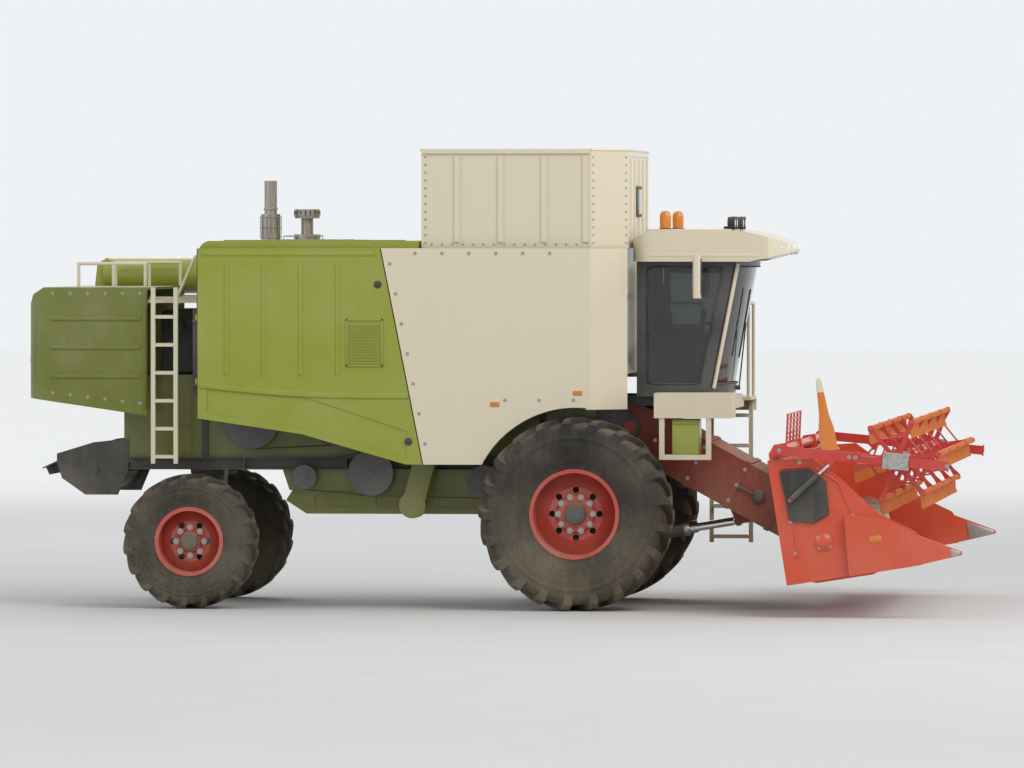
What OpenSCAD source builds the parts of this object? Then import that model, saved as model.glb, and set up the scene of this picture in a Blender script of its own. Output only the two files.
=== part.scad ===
// Self-propelled combine harvester with a six metre grain header.
// Millimetres. +X is forward, +Y is the machine's left, +Z is up, and the ground is z = 0.
// Inside the modules x is measured from the front axle, and machine() moves the whole to its origin.
// Header pieces are drawn as they lie when lowered, and lifted() raises them to their parked height.

/* [Wheels] */
// Outer radius of a front tyre over its lugs
front_tyre_r = 930; // [880:5:960]
// Width of a front tyre
front_tyre_w = 680; // [560:10:700]
// Outer radius of a front rim's barrel
front_rim_r = 410; // [380:5:440]
// Middle plane of a front tyre from the machine's middle plane
front_track_y = 1380; // [1360:5:1450]
// Outer radius of a rear tyre over its lugs
rear_tyre_r = 650; // [600:5:660]
// Width of a rear tyre
rear_tyre_w = 430; // [360:10:440]
// Outer radius of a rear rim's barrel
rear_rim_r = 310; // [280:5:330]
// Middle plane of a rear tyre from the machine's middle plane
rear_track_y = 1290; // [1270:5:1350]
// Distance between the front and rear axles
wheelbase = 3750; // [3650:10:3800]
// Height of a tread lug
lug_h = 45; // [30:1:60]
// Wall of a tyre
tyre_wall = 45; // [30:1:60]
// Sheet of a rim
rim_sheet = 14; // [10:1:20]
// Height of a rim's lip over its barrel
rim_lip = 24; // [20:1:28]
// Width of a tyre's bead foot
bead_foot = 55; // [48:1:60]
// Radius of a front axle stub
front_stub_r = 90; // [70:1:110]
// Radius of a rear axle stub
rear_stub_r = 50; // [40:1:60]
// Kingpin inboard of the rear tyre's inner wall
kingpin_in = 110; // [95:1:130]
// Radius of a kingpin barrel
kingpin_r = 62; // [50:1:70]
// Length of a steering arm
steer_arm = 200; // [170:1:240]
// Running gap between pieces that turn and what carries them
run_gap = 5; // [5:0.5:8]
// Gap of a seated round piece
seat_gap = 0.3; // [0.2:0.05:0.5]

/* [Frame and threshing body] */
// Half width of the threshing body
body_half_w = 780; // [740:5:790]
// Height of the threshing body's top
body_top_z = 2250; // [2200:5:2280]
// Front face of the threshing body
body_front_x = 120; // [100:5:130]
// Rear face of the threshing body
body_rear_x = -4480; // [-4500:5:-4400]
// Underside of the cleaning box
shoe_z = 900; // [850:10:960]
// Height of a frame rail's underside
rail_z = 1330; // [1320:5:1360]
// Height of a frame rail
rail_h = 120; // [100:5:140]
// Width of a frame rail
rail_w = 80; // [60:5:90]

/* [Panels and tank] */
// Outer face of the side panels from the middle plane
panel_y = 1500; // [1480:5:1520]
// Sheet of the side panels
panel_t = 28; // [20:1:36]
// Top of the right side panels
panel_top_z = 3480; // [3440:5:3500]
// Top of the left side panels, below the unloading tube
left_top_z = 2950; // [2900:5:2960]
// Lowest edge of the side panels
panel_low_z = 1400; // [1380:5:1450]
// Edge of the cream panel above the front tyre
arch_z = 1930; // [1900:5:1960]
// Gap between the front tyre and the arch
arch_gap = 90; // [70:5:100]
// Where the cream panel meets the green cover, at the bottom
seam_low_x = -1470; // [-1500:5:-1450]
// Where the cream panel meets the green cover, at the top
seam_top_x = -1880; // [-1900:5:-1850]
// Rear edge of the green covers, where they are hinged
cover_rear_x = -3660; // [-3680:5:-3640]
// Where the front corners of panel and tank begin to slant in
corner_x = 140; // [120:5:160]
// Length of the slanted front corner
corner_l = 330; // [300:5:350]
// Width that the slanted front corner takes off
corner_w = 320; // [300:5:330]
// Half width of the grain tank's lower box
tank_half_w = 1210; // [1180:5:1220]
// Sheet of the grain tank
tank_t = 14; // [10:1:20]
// Half width of the raised tank extension
ext_half_w = 1400; // [1380:5:1420]
// Top of the raised tank extension
ext_top_z = 4430; // [4380:5:4450]
// Rear wall of the tank and its extension
tank_rear_x = -1500; // [-1520:5:-1480]
// Outer face of the rear hood from the middle plane
hood_half_w = 1300; // [1280:5:1320]
// Top of the rear hood
hood_top_z = 3100; // [3050:5:3120]
// Rearmost face of the hood
hood_rear_x = -5340; // [-5360:5:-5320]
// Sheet of the rear hood
hood_t = 24; // [18:1:30]
// Top of the engine cover
engine_top_z = 3550; // [3540:5:3580]

/* [Cab] */
// Middle of the cab from the machine's middle plane, to the right
cab_mid_y = -50; // [-60:1:-40]
// Half width of the cab
cab_half_w = 900; // [880:5:910]
// Rear face of the cab
cab_rear_x = 540; // [530:5:560]
// Windscreen's foremost point at the floor
cab_front_x = 1410; // [1400:5:1430]
// Underside of the cab floor
cab_floor_z = 2050; // [2040:5:2060]
// Underside of the cab roof
cab_roof_z = 3350; // [3340:5:3360]
// Forward lean of the windscreen, degrees
cab_lean = 11; // [9:0.5:12]
// Radius of the windscreen seen from above
screen_r = 2400; // [2200:50:2600]
// Height of the cab roof
roof_h = 300; // [280:5:310]
// Foremost point of the roof's visor
visor_x = 2040; // [2000:5:2060]
// Thickness of the cab posts
post_t = 70; // [60:1:80]
// Thickness of the glass
glass_t = 8; // [6:0.5:10]
// Gap round the door
door_gap = 8; // [6:0.5:10]

/* [Feeder and header] */
// Feeder pivot forward of the front axle
pivot_x = 450; // [440:5:460]
// Height of the feeder pivot
pivot_z = 1750; // [1740:5:1760]
// How far the feeder is raised from lowered, degrees
rest_lift = 9; // [8:0.5:10]
// Half width of the feeder house
feeder_half_w = 640; // [620:5:650]
// Half depth of the feeder house
feeder_half_h = 240; // [220:5:250]
// Sheet of the feeder house
feeder_t = 16; // [12:1:20]
// Cutting half width, at the inner faces of the end plates
cut_half_w = 3000; // [2900:10:3100]
// Header's back wall, lowered
wall_x = 2000; // [1990:5:2030]
// Sheet of the header
sheet_t = 10; // [8:1:14]
// Top of the header's back wall, lowered
wall_top_z = 1250; // [1230:5:1270]
// Knife forward of the front axle, lowered
knife_x = 2850; // [2830:5:2870]
// Height of the header floor at the knife, lowered
floor_z = 95; // [90:1:105]
// Radius of the intake auger over its flights
auger_r = 270; // [255:1:275]
// Radius of the intake auger's tube
auger_tube_r = 150; // [140:1:165]
// Gap between the flights and the trough
auger_gap = 30; // [20:1:35]
// Lead of the auger flights
auger_lead = 500; // [450:10:560]
// Pitch of the knife guards
guard_pitch = 76.2; // [76.2:0.1:90]
// Tip of a divider, lowered
divider_x = 3560; // [3500:10:3600]
// Radius of a divider's rounded tip
divider_tip_r = 22; // [18:1:26]
// Width of a crop divider
divider_w = 86; // [80:1:90]

/* [Reel] */
// Reel axis forward of the front axle, lowered
reel_x = 3100; // [3080:5:3120]
// Height of the reel axis, lowered
reel_z = 1060; // [1050:5:1080]
// Radius of the circle of tine bars
reel_bar_r = 390; // [370:5:400]
// Length of a tine
tine_l = 150; // [130:1:155]
// Number of tine bars
reel_bars = 6; // [5:1:6]
// Spacing of the tines
tine_pitch = 190; // [180:1:240]
// Gap between the reel's end stars and the end plates
reel_side_gap = 70; // [60:5:110]
// Reel arm pivot forward of the front axle, lowered
arm_x = 2035; // [2030:1:2040]
// Height of the reel arm pivot, lowered
arm_z = 1330; // [1320:1:1340]

/* [Unloading auger] */
// Swing axis forward of the front axle
swing_x = 300; // [290:5:310]
// Swing axis outward of the grain tank's side
spout_out = 270; // [260:5:280]
// Radius of the unloading tube
spout_r = 180; // [170:1:185]
// Height of the unloading tube's axis
spout_z = 3200; // [3190:5:3210]
// Rear end of the unloading tube
spout_end_x = -5000; // [-5050:10:-4900]

/* [Hidden] */
$fn = 64;

green = "yellowgreen";
cream = "ivory";
dark = "dimgray";
header_red = "orangered";

pivot_reach = divider_x - pivot_x;
pivot_drop = pivot_z - (floor_z + 20);
front_tip_x = pivot_x + pivot_reach * cos(rest_lift) + pivot_drop * sin(rest_lift) + divider_tip_r;
mid_x = (front_tip_x + hood_rear_x) / 2;

kingpin_y = rear_track_y - rear_tyre_w / 2 - kingpin_in;
front_bead_w = 0.36 * front_tyre_w;
rear_bead_w = 0.38 * rear_tyre_w;
cab_left_y = cab_mid_y + cab_half_w;
cab_right_y = cab_mid_y - cab_half_w;
screen_bulge = screen_r - sqrt(screen_r * screen_r - cab_half_w * cab_half_w);
trough_x = wall_x + sheet_t + auger_gap + auger_r;
trough_z = floor_z + sheet_t + auger_gap + auger_r;
reel_half_w = cut_half_w - reel_side_gap;
swing_y = tank_half_w + spout_out;

module machine() translate([-mid_x, 0, 0]) children();

module lifted()
    machine() translate([pivot_x, 0, pivot_z]) rotate([0, -rest_lift, 0]) translate([-pivot_x, 0, -pivot_z])
        children();

// A side profile of (x, z) points, from y0 to y1
module across(y0, y1)
    translate([0, y1, 0]) rotate([90, 0, 0]) linear_extrude(y1 - y0) children();

module both_sides() {
    children();
    mirror([0, 1, 0]) children();
}

// A round bar along Y between two places
module pin_y(x, z, r, y0, y1)
    translate([x, y1, z]) rotate([90, 0, 0]) cylinder(r = r, h = y1 - y0);

// A round bar between two points of the plane y = at_y
module strut_xz(a, b, r, at_y) {
    d = b - a;
    translate([a[0], at_y, a[1]]) rotate([0, atan2(d[0], d[1]), 0]) cylinder(r = r, h = norm(d));
}

// A box from one corner to the other
module block(a, b) translate(a) cube(b - a);

module rounded(w, h, r) {
    square([w, h - 2 * r], center = true);
    square([w - 2 * r, h], center = true);
    for (sx = [-1, 1], sy = [-1, 1]) translate([sx * (w / 2 - r), sy * (h / 2 - r)]) circle(r);
}

// Wheels, drawn at the origin with the axis along Y and the outer side to +Y

// Half of a section's width is half_w over the side walls and half_bead at the rim
module tyre_form(low, high, half_w, half_bead, round_r) {
    translate([(low + high) / 2, 0]) rounded(high - low, 2 * half_w, round_r);
    polygon([[0, -half_bead], [0, half_bead], [rim_lip + 4, half_bead], [low + round_r, half_w - 1],
        [low + round_r, 1 - half_w], [rim_lip + 4, -half_bead]]);
}

module tyre_ring(r, w, rim, bead) {
    rise = r - lug_h - rim - seat_gap;
    low = rise * 0.12;
    round_r = rise * 0.3;
    rotate([90, 0, 0]) rotate_extrude() translate([rim + seat_gap, 0]) difference() {
        tyre_form(low, rise, w / 2, bead, round_r);
        translate([-1, 0]) tyre_form(low + tyre_wall, rise - tyre_wall + 1, w / 2 - tyre_wall, bead - bead_foot,
            round_r - tyre_wall / 2);
    }
}

// Lugs slant from the middle to each shoulder, turn about
module lugs(r, w, count, thick) {
    foot = lug_h + 0.6 * tyre_wall;
    arm = w * 0.62;
    intersection() {
        union() for (i = [0 : 2 * count - 1]) {
            side = i % 2 == 0 ? 1 : -1;
            rotate([0, i * 180 / count, 0]) translate([0, side * w * 0.23, r - foot])
                rotate([0, 0, side * 42 + 90]) translate([-arm / 2, -thick / 2, 0]) cube([arm, thick, foot + 20]);
        }
        rotate([90, 0, 0]) rotate_extrude() translate([r - foot, -w / 2]) polygon(
            [[-20, 0], [foot * 0.55, 0], [foot, w * 0.1], [foot, w * 0.9], [foot * 0.55, w], [-20, w]]);
    }
}

module tyre(r, w, rim, bead, count, thick) {
    tyre_ring(r, w, rim, bead);
    lugs(r, w, count, thick);
}

module rim(rim_r, bead, stub, disc_y, hole_count) {
    hub = stub * 1.9;
    difference() {
        rotate([90, 0, 0]) rotate_extrude() union() {
            translate([rim_r - rim_sheet, -bead - 1]) square([rim_sheet, 2 * bead + 2]);
            for (s = [-1, 1]) translate([rim_r - rim_sheet, s * (bead + seat_gap + rim_sheet / 2) - rim_sheet / 2])
                square([rim_sheet + rim_lip, rim_sheet]);
            polygon([[stub + 1, -disc_y - 50], [hub, -disc_y - 50], [hub + 20, -disc_y - rim_sheet],
                [rim_r * 0.62, -disc_y - rim_sheet], [rim_r - rim_sheet, -disc_y + 60],
                [rim_r - rim_sheet, -disc_y + 60 + rim_sheet * 1.4], [rim_r * 0.6, -disc_y], [stub + 1, -disc_y]]);
        }
        for (i = [0 : hole_count - 1]) rotate([0, i * 360 / hole_count, 0])
            pin_y(rim_r * 0.56, 0, rim_sheet * 2.2, disc_y - 20, disc_y + 100);
    }
}

module front_tyre_left() machine() color(dark) translate([0, front_track_y, front_tyre_r])
    tyre(front_tyre_r, front_tyre_w, front_rim_r, front_bead_w, 20, 52);
module front_tyre_right() mirror([0, 1, 0]) front_tyre_left();
module rear_tyre_left() machine() color(dark) translate([-wheelbase, rear_track_y, rear_tyre_r])
    tyre(rear_tyre_r, rear_tyre_w, rear_rim_r, rear_bead_w, 17, 38);
module rear_tyre_right() mirror([0, 1, 0]) rear_tyre_left();
module front_rim_left() machine() color("firebrick") translate([0, front_track_y, front_tyre_r])
    rim(front_rim_r, front_bead_w, front_stub_r, 60, 8);
module front_rim_right() mirror([0, 1, 0]) front_rim_left();
module rear_rim_left() machine() color("firebrick") translate([-wheelbase, rear_track_y, rear_tyre_r])
    rim(rear_rim_r, rear_bead_w, rear_stub_r, 40, 6);
module rear_rim_right() mirror([0, 1, 0]) rear_rim_left();

// Running gear

module front_axle() machine() color(dark) {
    hub_y = front_track_y + 60;
    both_sides() {
        pin_y(0, front_tyre_r, 190, body_half_w + 40, front_track_y - front_bead_w - 30);
        pin_y(0, front_tyre_r, 240, front_track_y - front_bead_w - 30, front_track_y - 60);
        pin_y(0, front_tyre_r, 150, front_track_y - 60, hub_y - run_gap);
        pin_y(0, front_tyre_r, front_stub_r, hub_y - run_gap, hub_y + 60);
        block([-170, body_half_w - 10, front_tyre_r - 210], [170, body_half_w + 40, front_tyre_r + 110]);
        block([-170, body_half_w + 0.3, front_tyre_r + 109], [170, body_half_w + 40, rail_z]);
    }
    difference() {
        block([-130, -body_half_w + 10, front_tyre_r - 110], [130, body_half_w - 10, front_tyre_r + 110]);
        block([-100, -body_half_w, front_tyre_r - 80], [100, body_half_w, front_tyre_r + 80]);
    }
    for (y = [-lift_cyl_y, lift_cyl_y]) lift_base(y);
}

// Two ears on the front axle for one lift cylinder's base pin
module lift_base(y) for (s = [-1, 1]) difference() {
    across(y + s * 52 - 11, y + s * 52 + 11) polygon([[129, front_tyre_r - 110], [129, front_tyre_r + 40],
        [lift_base_x + 10, lift_base_z + 45], [lift_base_x + 45, lift_base_z], [lift_base_x, lift_base_z - 45],
        [lift_base_x - 60, lift_base_z - 40]]);
    pin_y(lift_base_x, lift_base_z, lift_pin_r + 0.5, y - 80, y + 80);
}

module rear_axle() machine() color(dark) {
    beam_end = kingpin_y - kingpin_r - 34;
    translate([-wheelbase, 0, 0]) {
        difference() {
            union() {
                block([-90, -beam_end, rear_tyre_r - 80], [90, beam_end, rear_tyre_r + 80]);
                across(-150, 150) polygon([[-170, rail_z + 1], [170, rail_z + 1], [110, rear_tyre_r + 79],
                    [-110, rear_tyre_r + 79]]);
                block([-170, -body_half_w, rail_z], [170, body_half_w, 1399.7]);
            }
            block([-60, -beam_end - 1, rear_tyre_r - 50], [60, beam_end + 1, rear_tyre_r + 50]);
        }
        both_sides() {
            for (z = [yoke_low_z, yoke_high_z]) difference() {
                union() {
                    translate([0, kingpin_y, z]) cylinder(r = kingpin_r + 10, h = yoke_t);
                    block([-kingpin_r - 10, beam_end - 20, z], [kingpin_r + 10, kingpin_y, z + yoke_t]);
                }
                translate([0, kingpin_y, z - 1]) cylinder(r = kingpin_bore_r, h = yoke_t + 2);
            }
            block([-kingpin_r - 10, beam_end - 20, yoke_low_z + yoke_t], [kingpin_r + 10, beam_end, yoke_high_z]);
        }
    }
}

yoke_t = 40;
yoke_low_z = rear_tyre_r - 160;
yoke_high_z = rear_tyre_r + 120;
kingpin_bore_r = 31;
arm_t = 26;
arm_z0 = yoke_low_z - run_gap - arm_t;

module knuckle_left() machine() color("gray") translate([-wheelbase, kingpin_y, 0]) {
    translate([0, 0, yoke_low_z + yoke_t + run_gap])
        cylinder(r = kingpin_r, h = yoke_high_z - yoke_low_z - yoke_t - 2 * run_gap);
    translate([0, 0, arm_z0]) cylinder(r = kingpin_bore_r - 0.5, h = yoke_high_z + yoke_t - arm_z0);
    spindle_end = rear_track_y + 40 - kingpin_y;
    pin_y(0, rear_tyre_r, rear_stub_r + 30, 0, spindle_end - run_gap);
    pin_y(0, rear_tyre_r, rear_stub_r, spindle_end - run_gap - 1, spindle_end + 45);
    translate([0, 0, arm_z0]) linear_extrude(arm_t) {
        polygon([[0, -50], [0, 50], [-steer_arm, 0], [-steer_arm, -60]]);
        translate([-steer_arm, -30]) circle(32);
        circle(50);
    }
}
module knuckle_right() mirror([0, 1, 0]) knuckle_left();

// The tie rod's ends slide under the steering arms, because they drift as the wheels turn
module tie_rod() machine() color("gray") translate([-wheelbase - steer_arm, 0, 0]) {
    end_y = kingpin_y - 30;
    rod_z = arm_z0 - 34;
    pin_y(0, rod_z, 20, -end_y, end_y);
    both_sides() {
        translate([0, end_y, rod_z - 26]) cylinder(r = 28, h = 52);
        translate([0, end_y, rod_z]) cylinder(r = 18, h = arm_z0 - seat_gap - rod_z);
    }
}

module main_frame() machine() color(dark) {
    both_sides() {
        difference() {
            block([body_rear_x + 60, body_half_w + 0.3, rail_z], [100, body_half_w + rail_w, rail_z + rail_h]);
            block([body_rear_x, body_half_w + 14, rail_z + 12], [101, body_half_w + rail_w + 1, rail_z + rail_h - 12]);
        }
        for (x = [-3300, -2300, -1300, -300])
            block([x, body_half_w + 14, rail_z + 12], [x + 12, body_half_w + rail_w, rail_z + rail_h - 12]);
        // Outriggers that carry the side panels and covers
        for (x = [hinge_post_x, -1700, -420]) {
            block([x, body_half_w + 0.3, body_top_z - 200],
                [x + 60, panel_y - panel_t - cover_rib - run_gap, body_top_z - 140]);
            across(body_half_w + 0.3, body_half_w + 20)
                polygon([[x, body_top_z - 200], [x + 60, body_top_z - 200], [x + 60, rail_z + rail_h - 1],
                    [x, rail_z + rail_h - 1]]);
        }
        // Hinge post of the side cover, with two tabs and their pins
        block([hinge_post_x, panel_y - 100, body_top_z - 141], [hinge_post_x + 40, panel_y - 60, left_top_z - 60]);
        for (z = cover_hinge_z) {
            block([hinge_post_x, panel_y - 61, z - 20], [hinge_post_x + 40, cover_hinge_y + 10, z]);
            translate([hinge_post_x, panel_y - 61, z - 20]) cube([cover_rear_x - hinge_post_x - 4, 40, 20]);
            translate([cover_hinge_x, cover_hinge_y, z - 20]) cylinder(r = 11, h = 20);
            translate([cover_hinge_x, cover_hinge_y, z - 1]) cylinder(r = 7, h = 60);
        }
        // Brackets of the feeder pivot
        difference() {
            across(feeder_half_w + 14, feeder_half_w + 54) polygon([[body_front_x + 0.3, pivot_z - 240],
                [body_front_x + 0.3, pivot_z + 204.7], [pivot_x - 60, pivot_z + 204.7], [pivot_x + 95, pivot_z + 50],
                [pivot_x + 95, pivot_z - 60], [pivot_x, pivot_z - 110]]);
            pin_y(pivot_x, pivot_z, pivot_pin_r + 0.5, feeder_half_w, feeder_half_w + 80);
        }
    }
}
pivot_pin_r = 60;
cover_rib = 20;
cover_hinge_x = cover_rear_x - 14;
cover_hinge_y = panel_y - 14;
cover_hinge_z = [body_top_z - 80, left_top_z - 160];
hinge_post_x = cover_hinge_x - 40;

body_t = 20;

module threshing_body() machine() color(green) difference() {
    across(-body_half_w, body_half_w) polygon([[body_front_x, 1130], [body_front_x, body_top_z],
        [body_rear_x, body_top_z], [body_rear_x, 1400], [-2950, 1400], [-2860, 1130]]);
    // Inside, open to the chopper at the rear
    across(-body_half_w + body_t, body_half_w - body_t) polygon([[body_front_x - body_t, 1130 + body_t],
        [body_front_x - body_t, body_top_z - body_t], [body_rear_x - 1, body_top_z - body_t],
        [body_rear_x - 1, 1400 + body_t], [-2937, 1400 + body_t], [-2847, 1130 + body_t]]);
    // Throat behind the feeder house
    block([body_front_x - body_t - 1, -feeder_half_w + 40, pivot_z - 300],
        [body_front_x + 1, feeder_half_w - 40, pivot_z + 240]);
}

module cleaning_box() machine() color(green) difference() {
    across(-body_half_w + 60, body_half_w - 60) polygon([[-620, 1129.7], [-2840, 1129.7], [-2900, shoe_z + 130],
        [-2700, shoe_z], [-900, shoe_z], [-700, shoe_z + 100]]);
    across(-body_half_w + 84, body_half_w - 84) polygon([[-642, 1131], [-2824, 1131], [-2876, shoe_z + 132],
        [-2692, shoe_z + 16], [-906, shoe_z + 16], [-720, shoe_z + 108]]);
    // Recesses of the sieve box's side plates
    both_sides() for (x = [-2400, -1800, -1200])
        block([x - 220, body_half_w - 70, shoe_z + 60], [x + 220, body_half_w, 1080]);
}

module rear_hitch() machine() color(dark) translate([-wheelbase, 0, rear_tyre_r]) difference() {
    union() {
        block([-500, -50, -50], [-90.3, 50, 50]);
        for (z = [-50, 20]) translate([0, 0, z]) linear_extrude(30) {
            translate([-650, -60]) square([200, 120]);
            translate([-650, 0]) circle(60);
        }
    }
    translate([-650, 0, -60]) cylinder(r = hitch_r, h = 120);
}
hitch_r = 16;

module chopper_housing() machine() color(dark) {
    // Side plates bolted to the outside of the threshing body
    both_sides() difference() {
        across(chop_half_w, chop_half_w + 12) polygon([[body_rear_x + 45, 1620], [body_rear_x - 20, 1620],
            [chop_x - 20, chop_z + 260], [chop_x - 380, chop_z + 150], [chop_x - 380, chop_z + 60], [chop_x - 330, chop_z - 90],
            [chop_x - 100, chop_z - 250], [chop_x + 220, chop_z - 250], [body_rear_x + 45, chop_z]]);
        pin_y(chop_x, chop_z, 31, chop_half_w - 1, chop_half_w + 20);
        pin_y(tail_x, tail_z, tail_pin_r + 0.5, chop_half_w - 1, chop_half_w + 20);
    }
    // Curved floor under the rotor
    across(-chop_half_w - 1, chop_half_w + 1) difference() {
        translate([chop_x, chop_z]) circle(chop_r + 38);
        translate([chop_x, chop_z]) circle(chop_r + 26);
        translate([chop_x - 600, chop_z - 40]) square([1200, 600]);
        translate([chop_x - 600, chop_z - 600]) square([480, 600]);
    }
    // Cover over and behind the rotor
    across(-chop_half_w - 1, chop_half_w + 1) polygon([[chop_x - 20, chop_z + 250], [chop_x - 324, chop_z + 152],
        [chop_x - 320, chop_z + 140], [chop_x - 16, chop_z + 238]]);
}
chop_x = -4760;
chop_z = 1330;
chop_half_w = body_half_w + 0.3;
chop_r = 180;
tail_x = chop_x - 352;
tail_z = chop_z + 100;
tail_pin_r = 12;

module chopper_rotor() machine() color("gray") {
    pin_y(chop_x, chop_z, 70, -chop_half_w + run_gap, chop_half_w - run_gap);
    pin_y(chop_x, chop_z, 30, -chop_half_w - 30, chop_half_w + 30);
    for (row = [0 : 3], i = [0 : 9])
        translate([chop_x, -chop_half_w + 60 + row * 16 + i * (2 * chop_half_w - 170) / 9, chop_z])
            rotate([0, row * 90, 0]) block([40, -4, -22], [chop_r, 4, 22]);
}

module tailboard() machine() color(dark) {
    pin_y(tail_x, tail_z, tail_pin_r, -chop_half_w - 20, chop_half_w + 20);
    translate([tail_x, 0, tail_z]) rotate([0, -25, 0]) {
        block([-200, -chop_half_w + 20, -14], [-6, chop_half_w - 20, -6]);
        for (i = [-5 : 5]) translate([-195, i * 110, -90]) rotate([0, 0, -i * 3]) cube([160, 6, 80]);
    }
}

// Engine, tank and panels

// The block is open below, where its sump stands in the deck
module engine() machine() color("gray") difference() {
    block([-2900, -480, body_top_z + seat_gap], [-1800, 480, 3050]);
    block([-2870, -450, body_top_z], [-1830, 450, 3020]);
}

engine_cover_w = panel_y - panel_t - cover_rib - 12;

module engine_cover() machine() color(green) difference() {
    intersection() {
        across(-engine_cover_w, tank_half_w) union() {
            translate([cover_rear_x, body_top_z + 700]) square([tank_rear_x - 20 - cover_rear_x, 500]);
            translate([cover_rear_x + 120, body_top_z]) square([tank_rear_x - 140 - cover_rear_x, engine_top_z - body_top_z]);
            translate([cover_rear_x + 120, engine_top_z - 120]) circle(120);
            translate([cover_rear_x, body_top_z]) square([200, engine_top_z - body_top_z - 120]);
            translate([tank_rear_x - 220, body_top_z]) square([200, engine_top_z - body_top_z]);
        }
        block([cover_rear_x - 50, -panel_y, body_top_z + 0.3], [tank_rear_x, panel_y, engine_top_z]);
    }
    block([cover_rear_x + 24, -engine_cover_w + 24, body_top_z - 1],
        [tank_rear_x - 44, tank_half_w - 24, engine_top_z - 24]);
    // Cooling air slots in the top and in the rear wall
    for (i = [0 : 8]) block([cover_rear_x + 500 + i * 90, -900, engine_top_z - 60],
        [cover_rear_x + 540 + i * 90, 500, engine_top_z + 1]);
}

module exhaust() machine() color("gray") difference() {
    union() {
        translate([-3250, 800, engine_top_z]) cylinder(r = 95, h = 260);
        translate([-3250, 800, engine_top_z + 259]) cylinder(r = 62, h = 330);
        translate([-2900, 900, engine_top_z]) cylinder(r = 130, h = 60);
        translate([-2900, 900, engine_top_z + 59]) cylinder(r = 60, h = 160);
        translate([-2900, 900, engine_top_z + 218]) cylinder(r = 125, h = 90);
    }
    translate([-3250, 800, engine_top_z + 300]) cylinder(r = 54, h = 300);
}

// Outline of the tank seen from above, with both front corners slanted
module tank_outline(half_w, in) polygon([[tank_rear_x + in, -half_w + in], [corner_x - in * 0.4, -half_w + in],
    [corner_x + corner_l - in, -half_w + corner_w + in * 0.4], [corner_x + corner_l - in, half_w - corner_w - in * 0.4],
    [corner_x - in * 0.4, half_w - in], [tank_rear_x + in, half_w - in]]);

module along_tank() translate([tank_rear_x + tank_t, 0, 0]) rotate([90, 0, 90])
    linear_extrude(tank_front_x - tank_rear_x - 2 * tank_t) children();

module grain_tank() machine() color(cream) {
    wall_y = tank_half_w - tank_t;
    difference() {
        block([tank_rear_x, -tank_half_w, body_top_z + seat_gap], [tank_front_x, tank_half_w, panel_top_z]);
        // Hopper whose floor slopes to the two bottom augers
        along_tank() polygon([[-wall_y, panel_top_z + 1], [-wall_y, 2850], [-560, tank_floor_z], [-260, tank_floor_z],
            [0, tank_floor_z + 190], [260, tank_floor_z], [560, tank_floor_z], [wall_y, 2850],
            [wall_y, panel_top_z + 1]]);
        // Space under the slanted floors
        along_tank() polygon([[-wall_y, body_top_z], [-wall_y, 2832], [-566, tank_floor_z - 14],
            [-256, tank_floor_z - 14], [0, tank_floor_z + 172], [256, tank_floor_z - 14], [566, tank_floor_z - 14],
            [wall_y, 2832], [wall_y, body_top_z]]);
    }
}
tank_floor_z = 2330;
tank_front_x = corner_x + corner_l - 110;

module tank_augers() machine() color("gray") for (y = [-410, 410])
    translate([tank_rear_x + tank_t + seat_gap, y, tank_floor_z + 130]) rotate([0, 90, 0]) {
        cylinder(r = 35, h = tank_front_x - tank_rear_x - 2 * tank_t - 2 * seat_gap);
        for (i = [0 : 7]) translate([0, 0, 110 + i * 205]) rotate([0, 8, 0]) cylinder(r = 118, h = 8);
    }

module tank_extension() machine() color(cream) {
    translate([0, 0, panel_top_z + 0.3]) difference() {
        linear_extrude(ext_top_z - panel_top_z - 0.3) tank_outline(ext_half_w, 0);
        translate([0, 0, -1]) linear_extrude(ext_top_z) tank_outline(ext_half_w, 22);
    }
    // Ledge between the lower box and the wider extension
    translate([0, 0, panel_top_z + 0.3]) linear_extrude(20) difference() {
        tank_outline(ext_half_w, 2);
        translate([tank_rear_x + 60, -tank_half_w + 60])
            square([corner_x + corner_l - tank_rear_x - 200, 2 * tank_half_w - 120]);
    }
    // Pressed ribs and corner stays of the raised walls
    both_sides() for (x = [-1180, -760, -340, 60])
        block([x, ext_half_w - 1, panel_top_z + 60], [x + 50, ext_half_w + 16, ext_top_z - 60]);
    both_sides() block([tank_rear_x + 1, ext_half_w - 1, ext_top_z - 40], [corner_x - 10, ext_half_w + 20, ext_top_z]);
}

module arched_panel(top, front_x) across(-panel_t / 2, panel_t / 2) difference() {
    polygon([[seam_low_x, panel_low_z], [seam_low_x - (seam_low_x - seam_top_x) * (top - panel_low_z)
        / (panel_top_z - panel_low_z), top], [front_x, top], [front_x, arch_z], [-60, arch_z],
        [-560, panel_low_z + 60], [-560, panel_low_z]]);
    translate([0, front_tyre_r]) circle(front_tyre_r + arch_gap);
    translate([-700, 0]) square([1500, panel_low_z + 60]);
}

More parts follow.
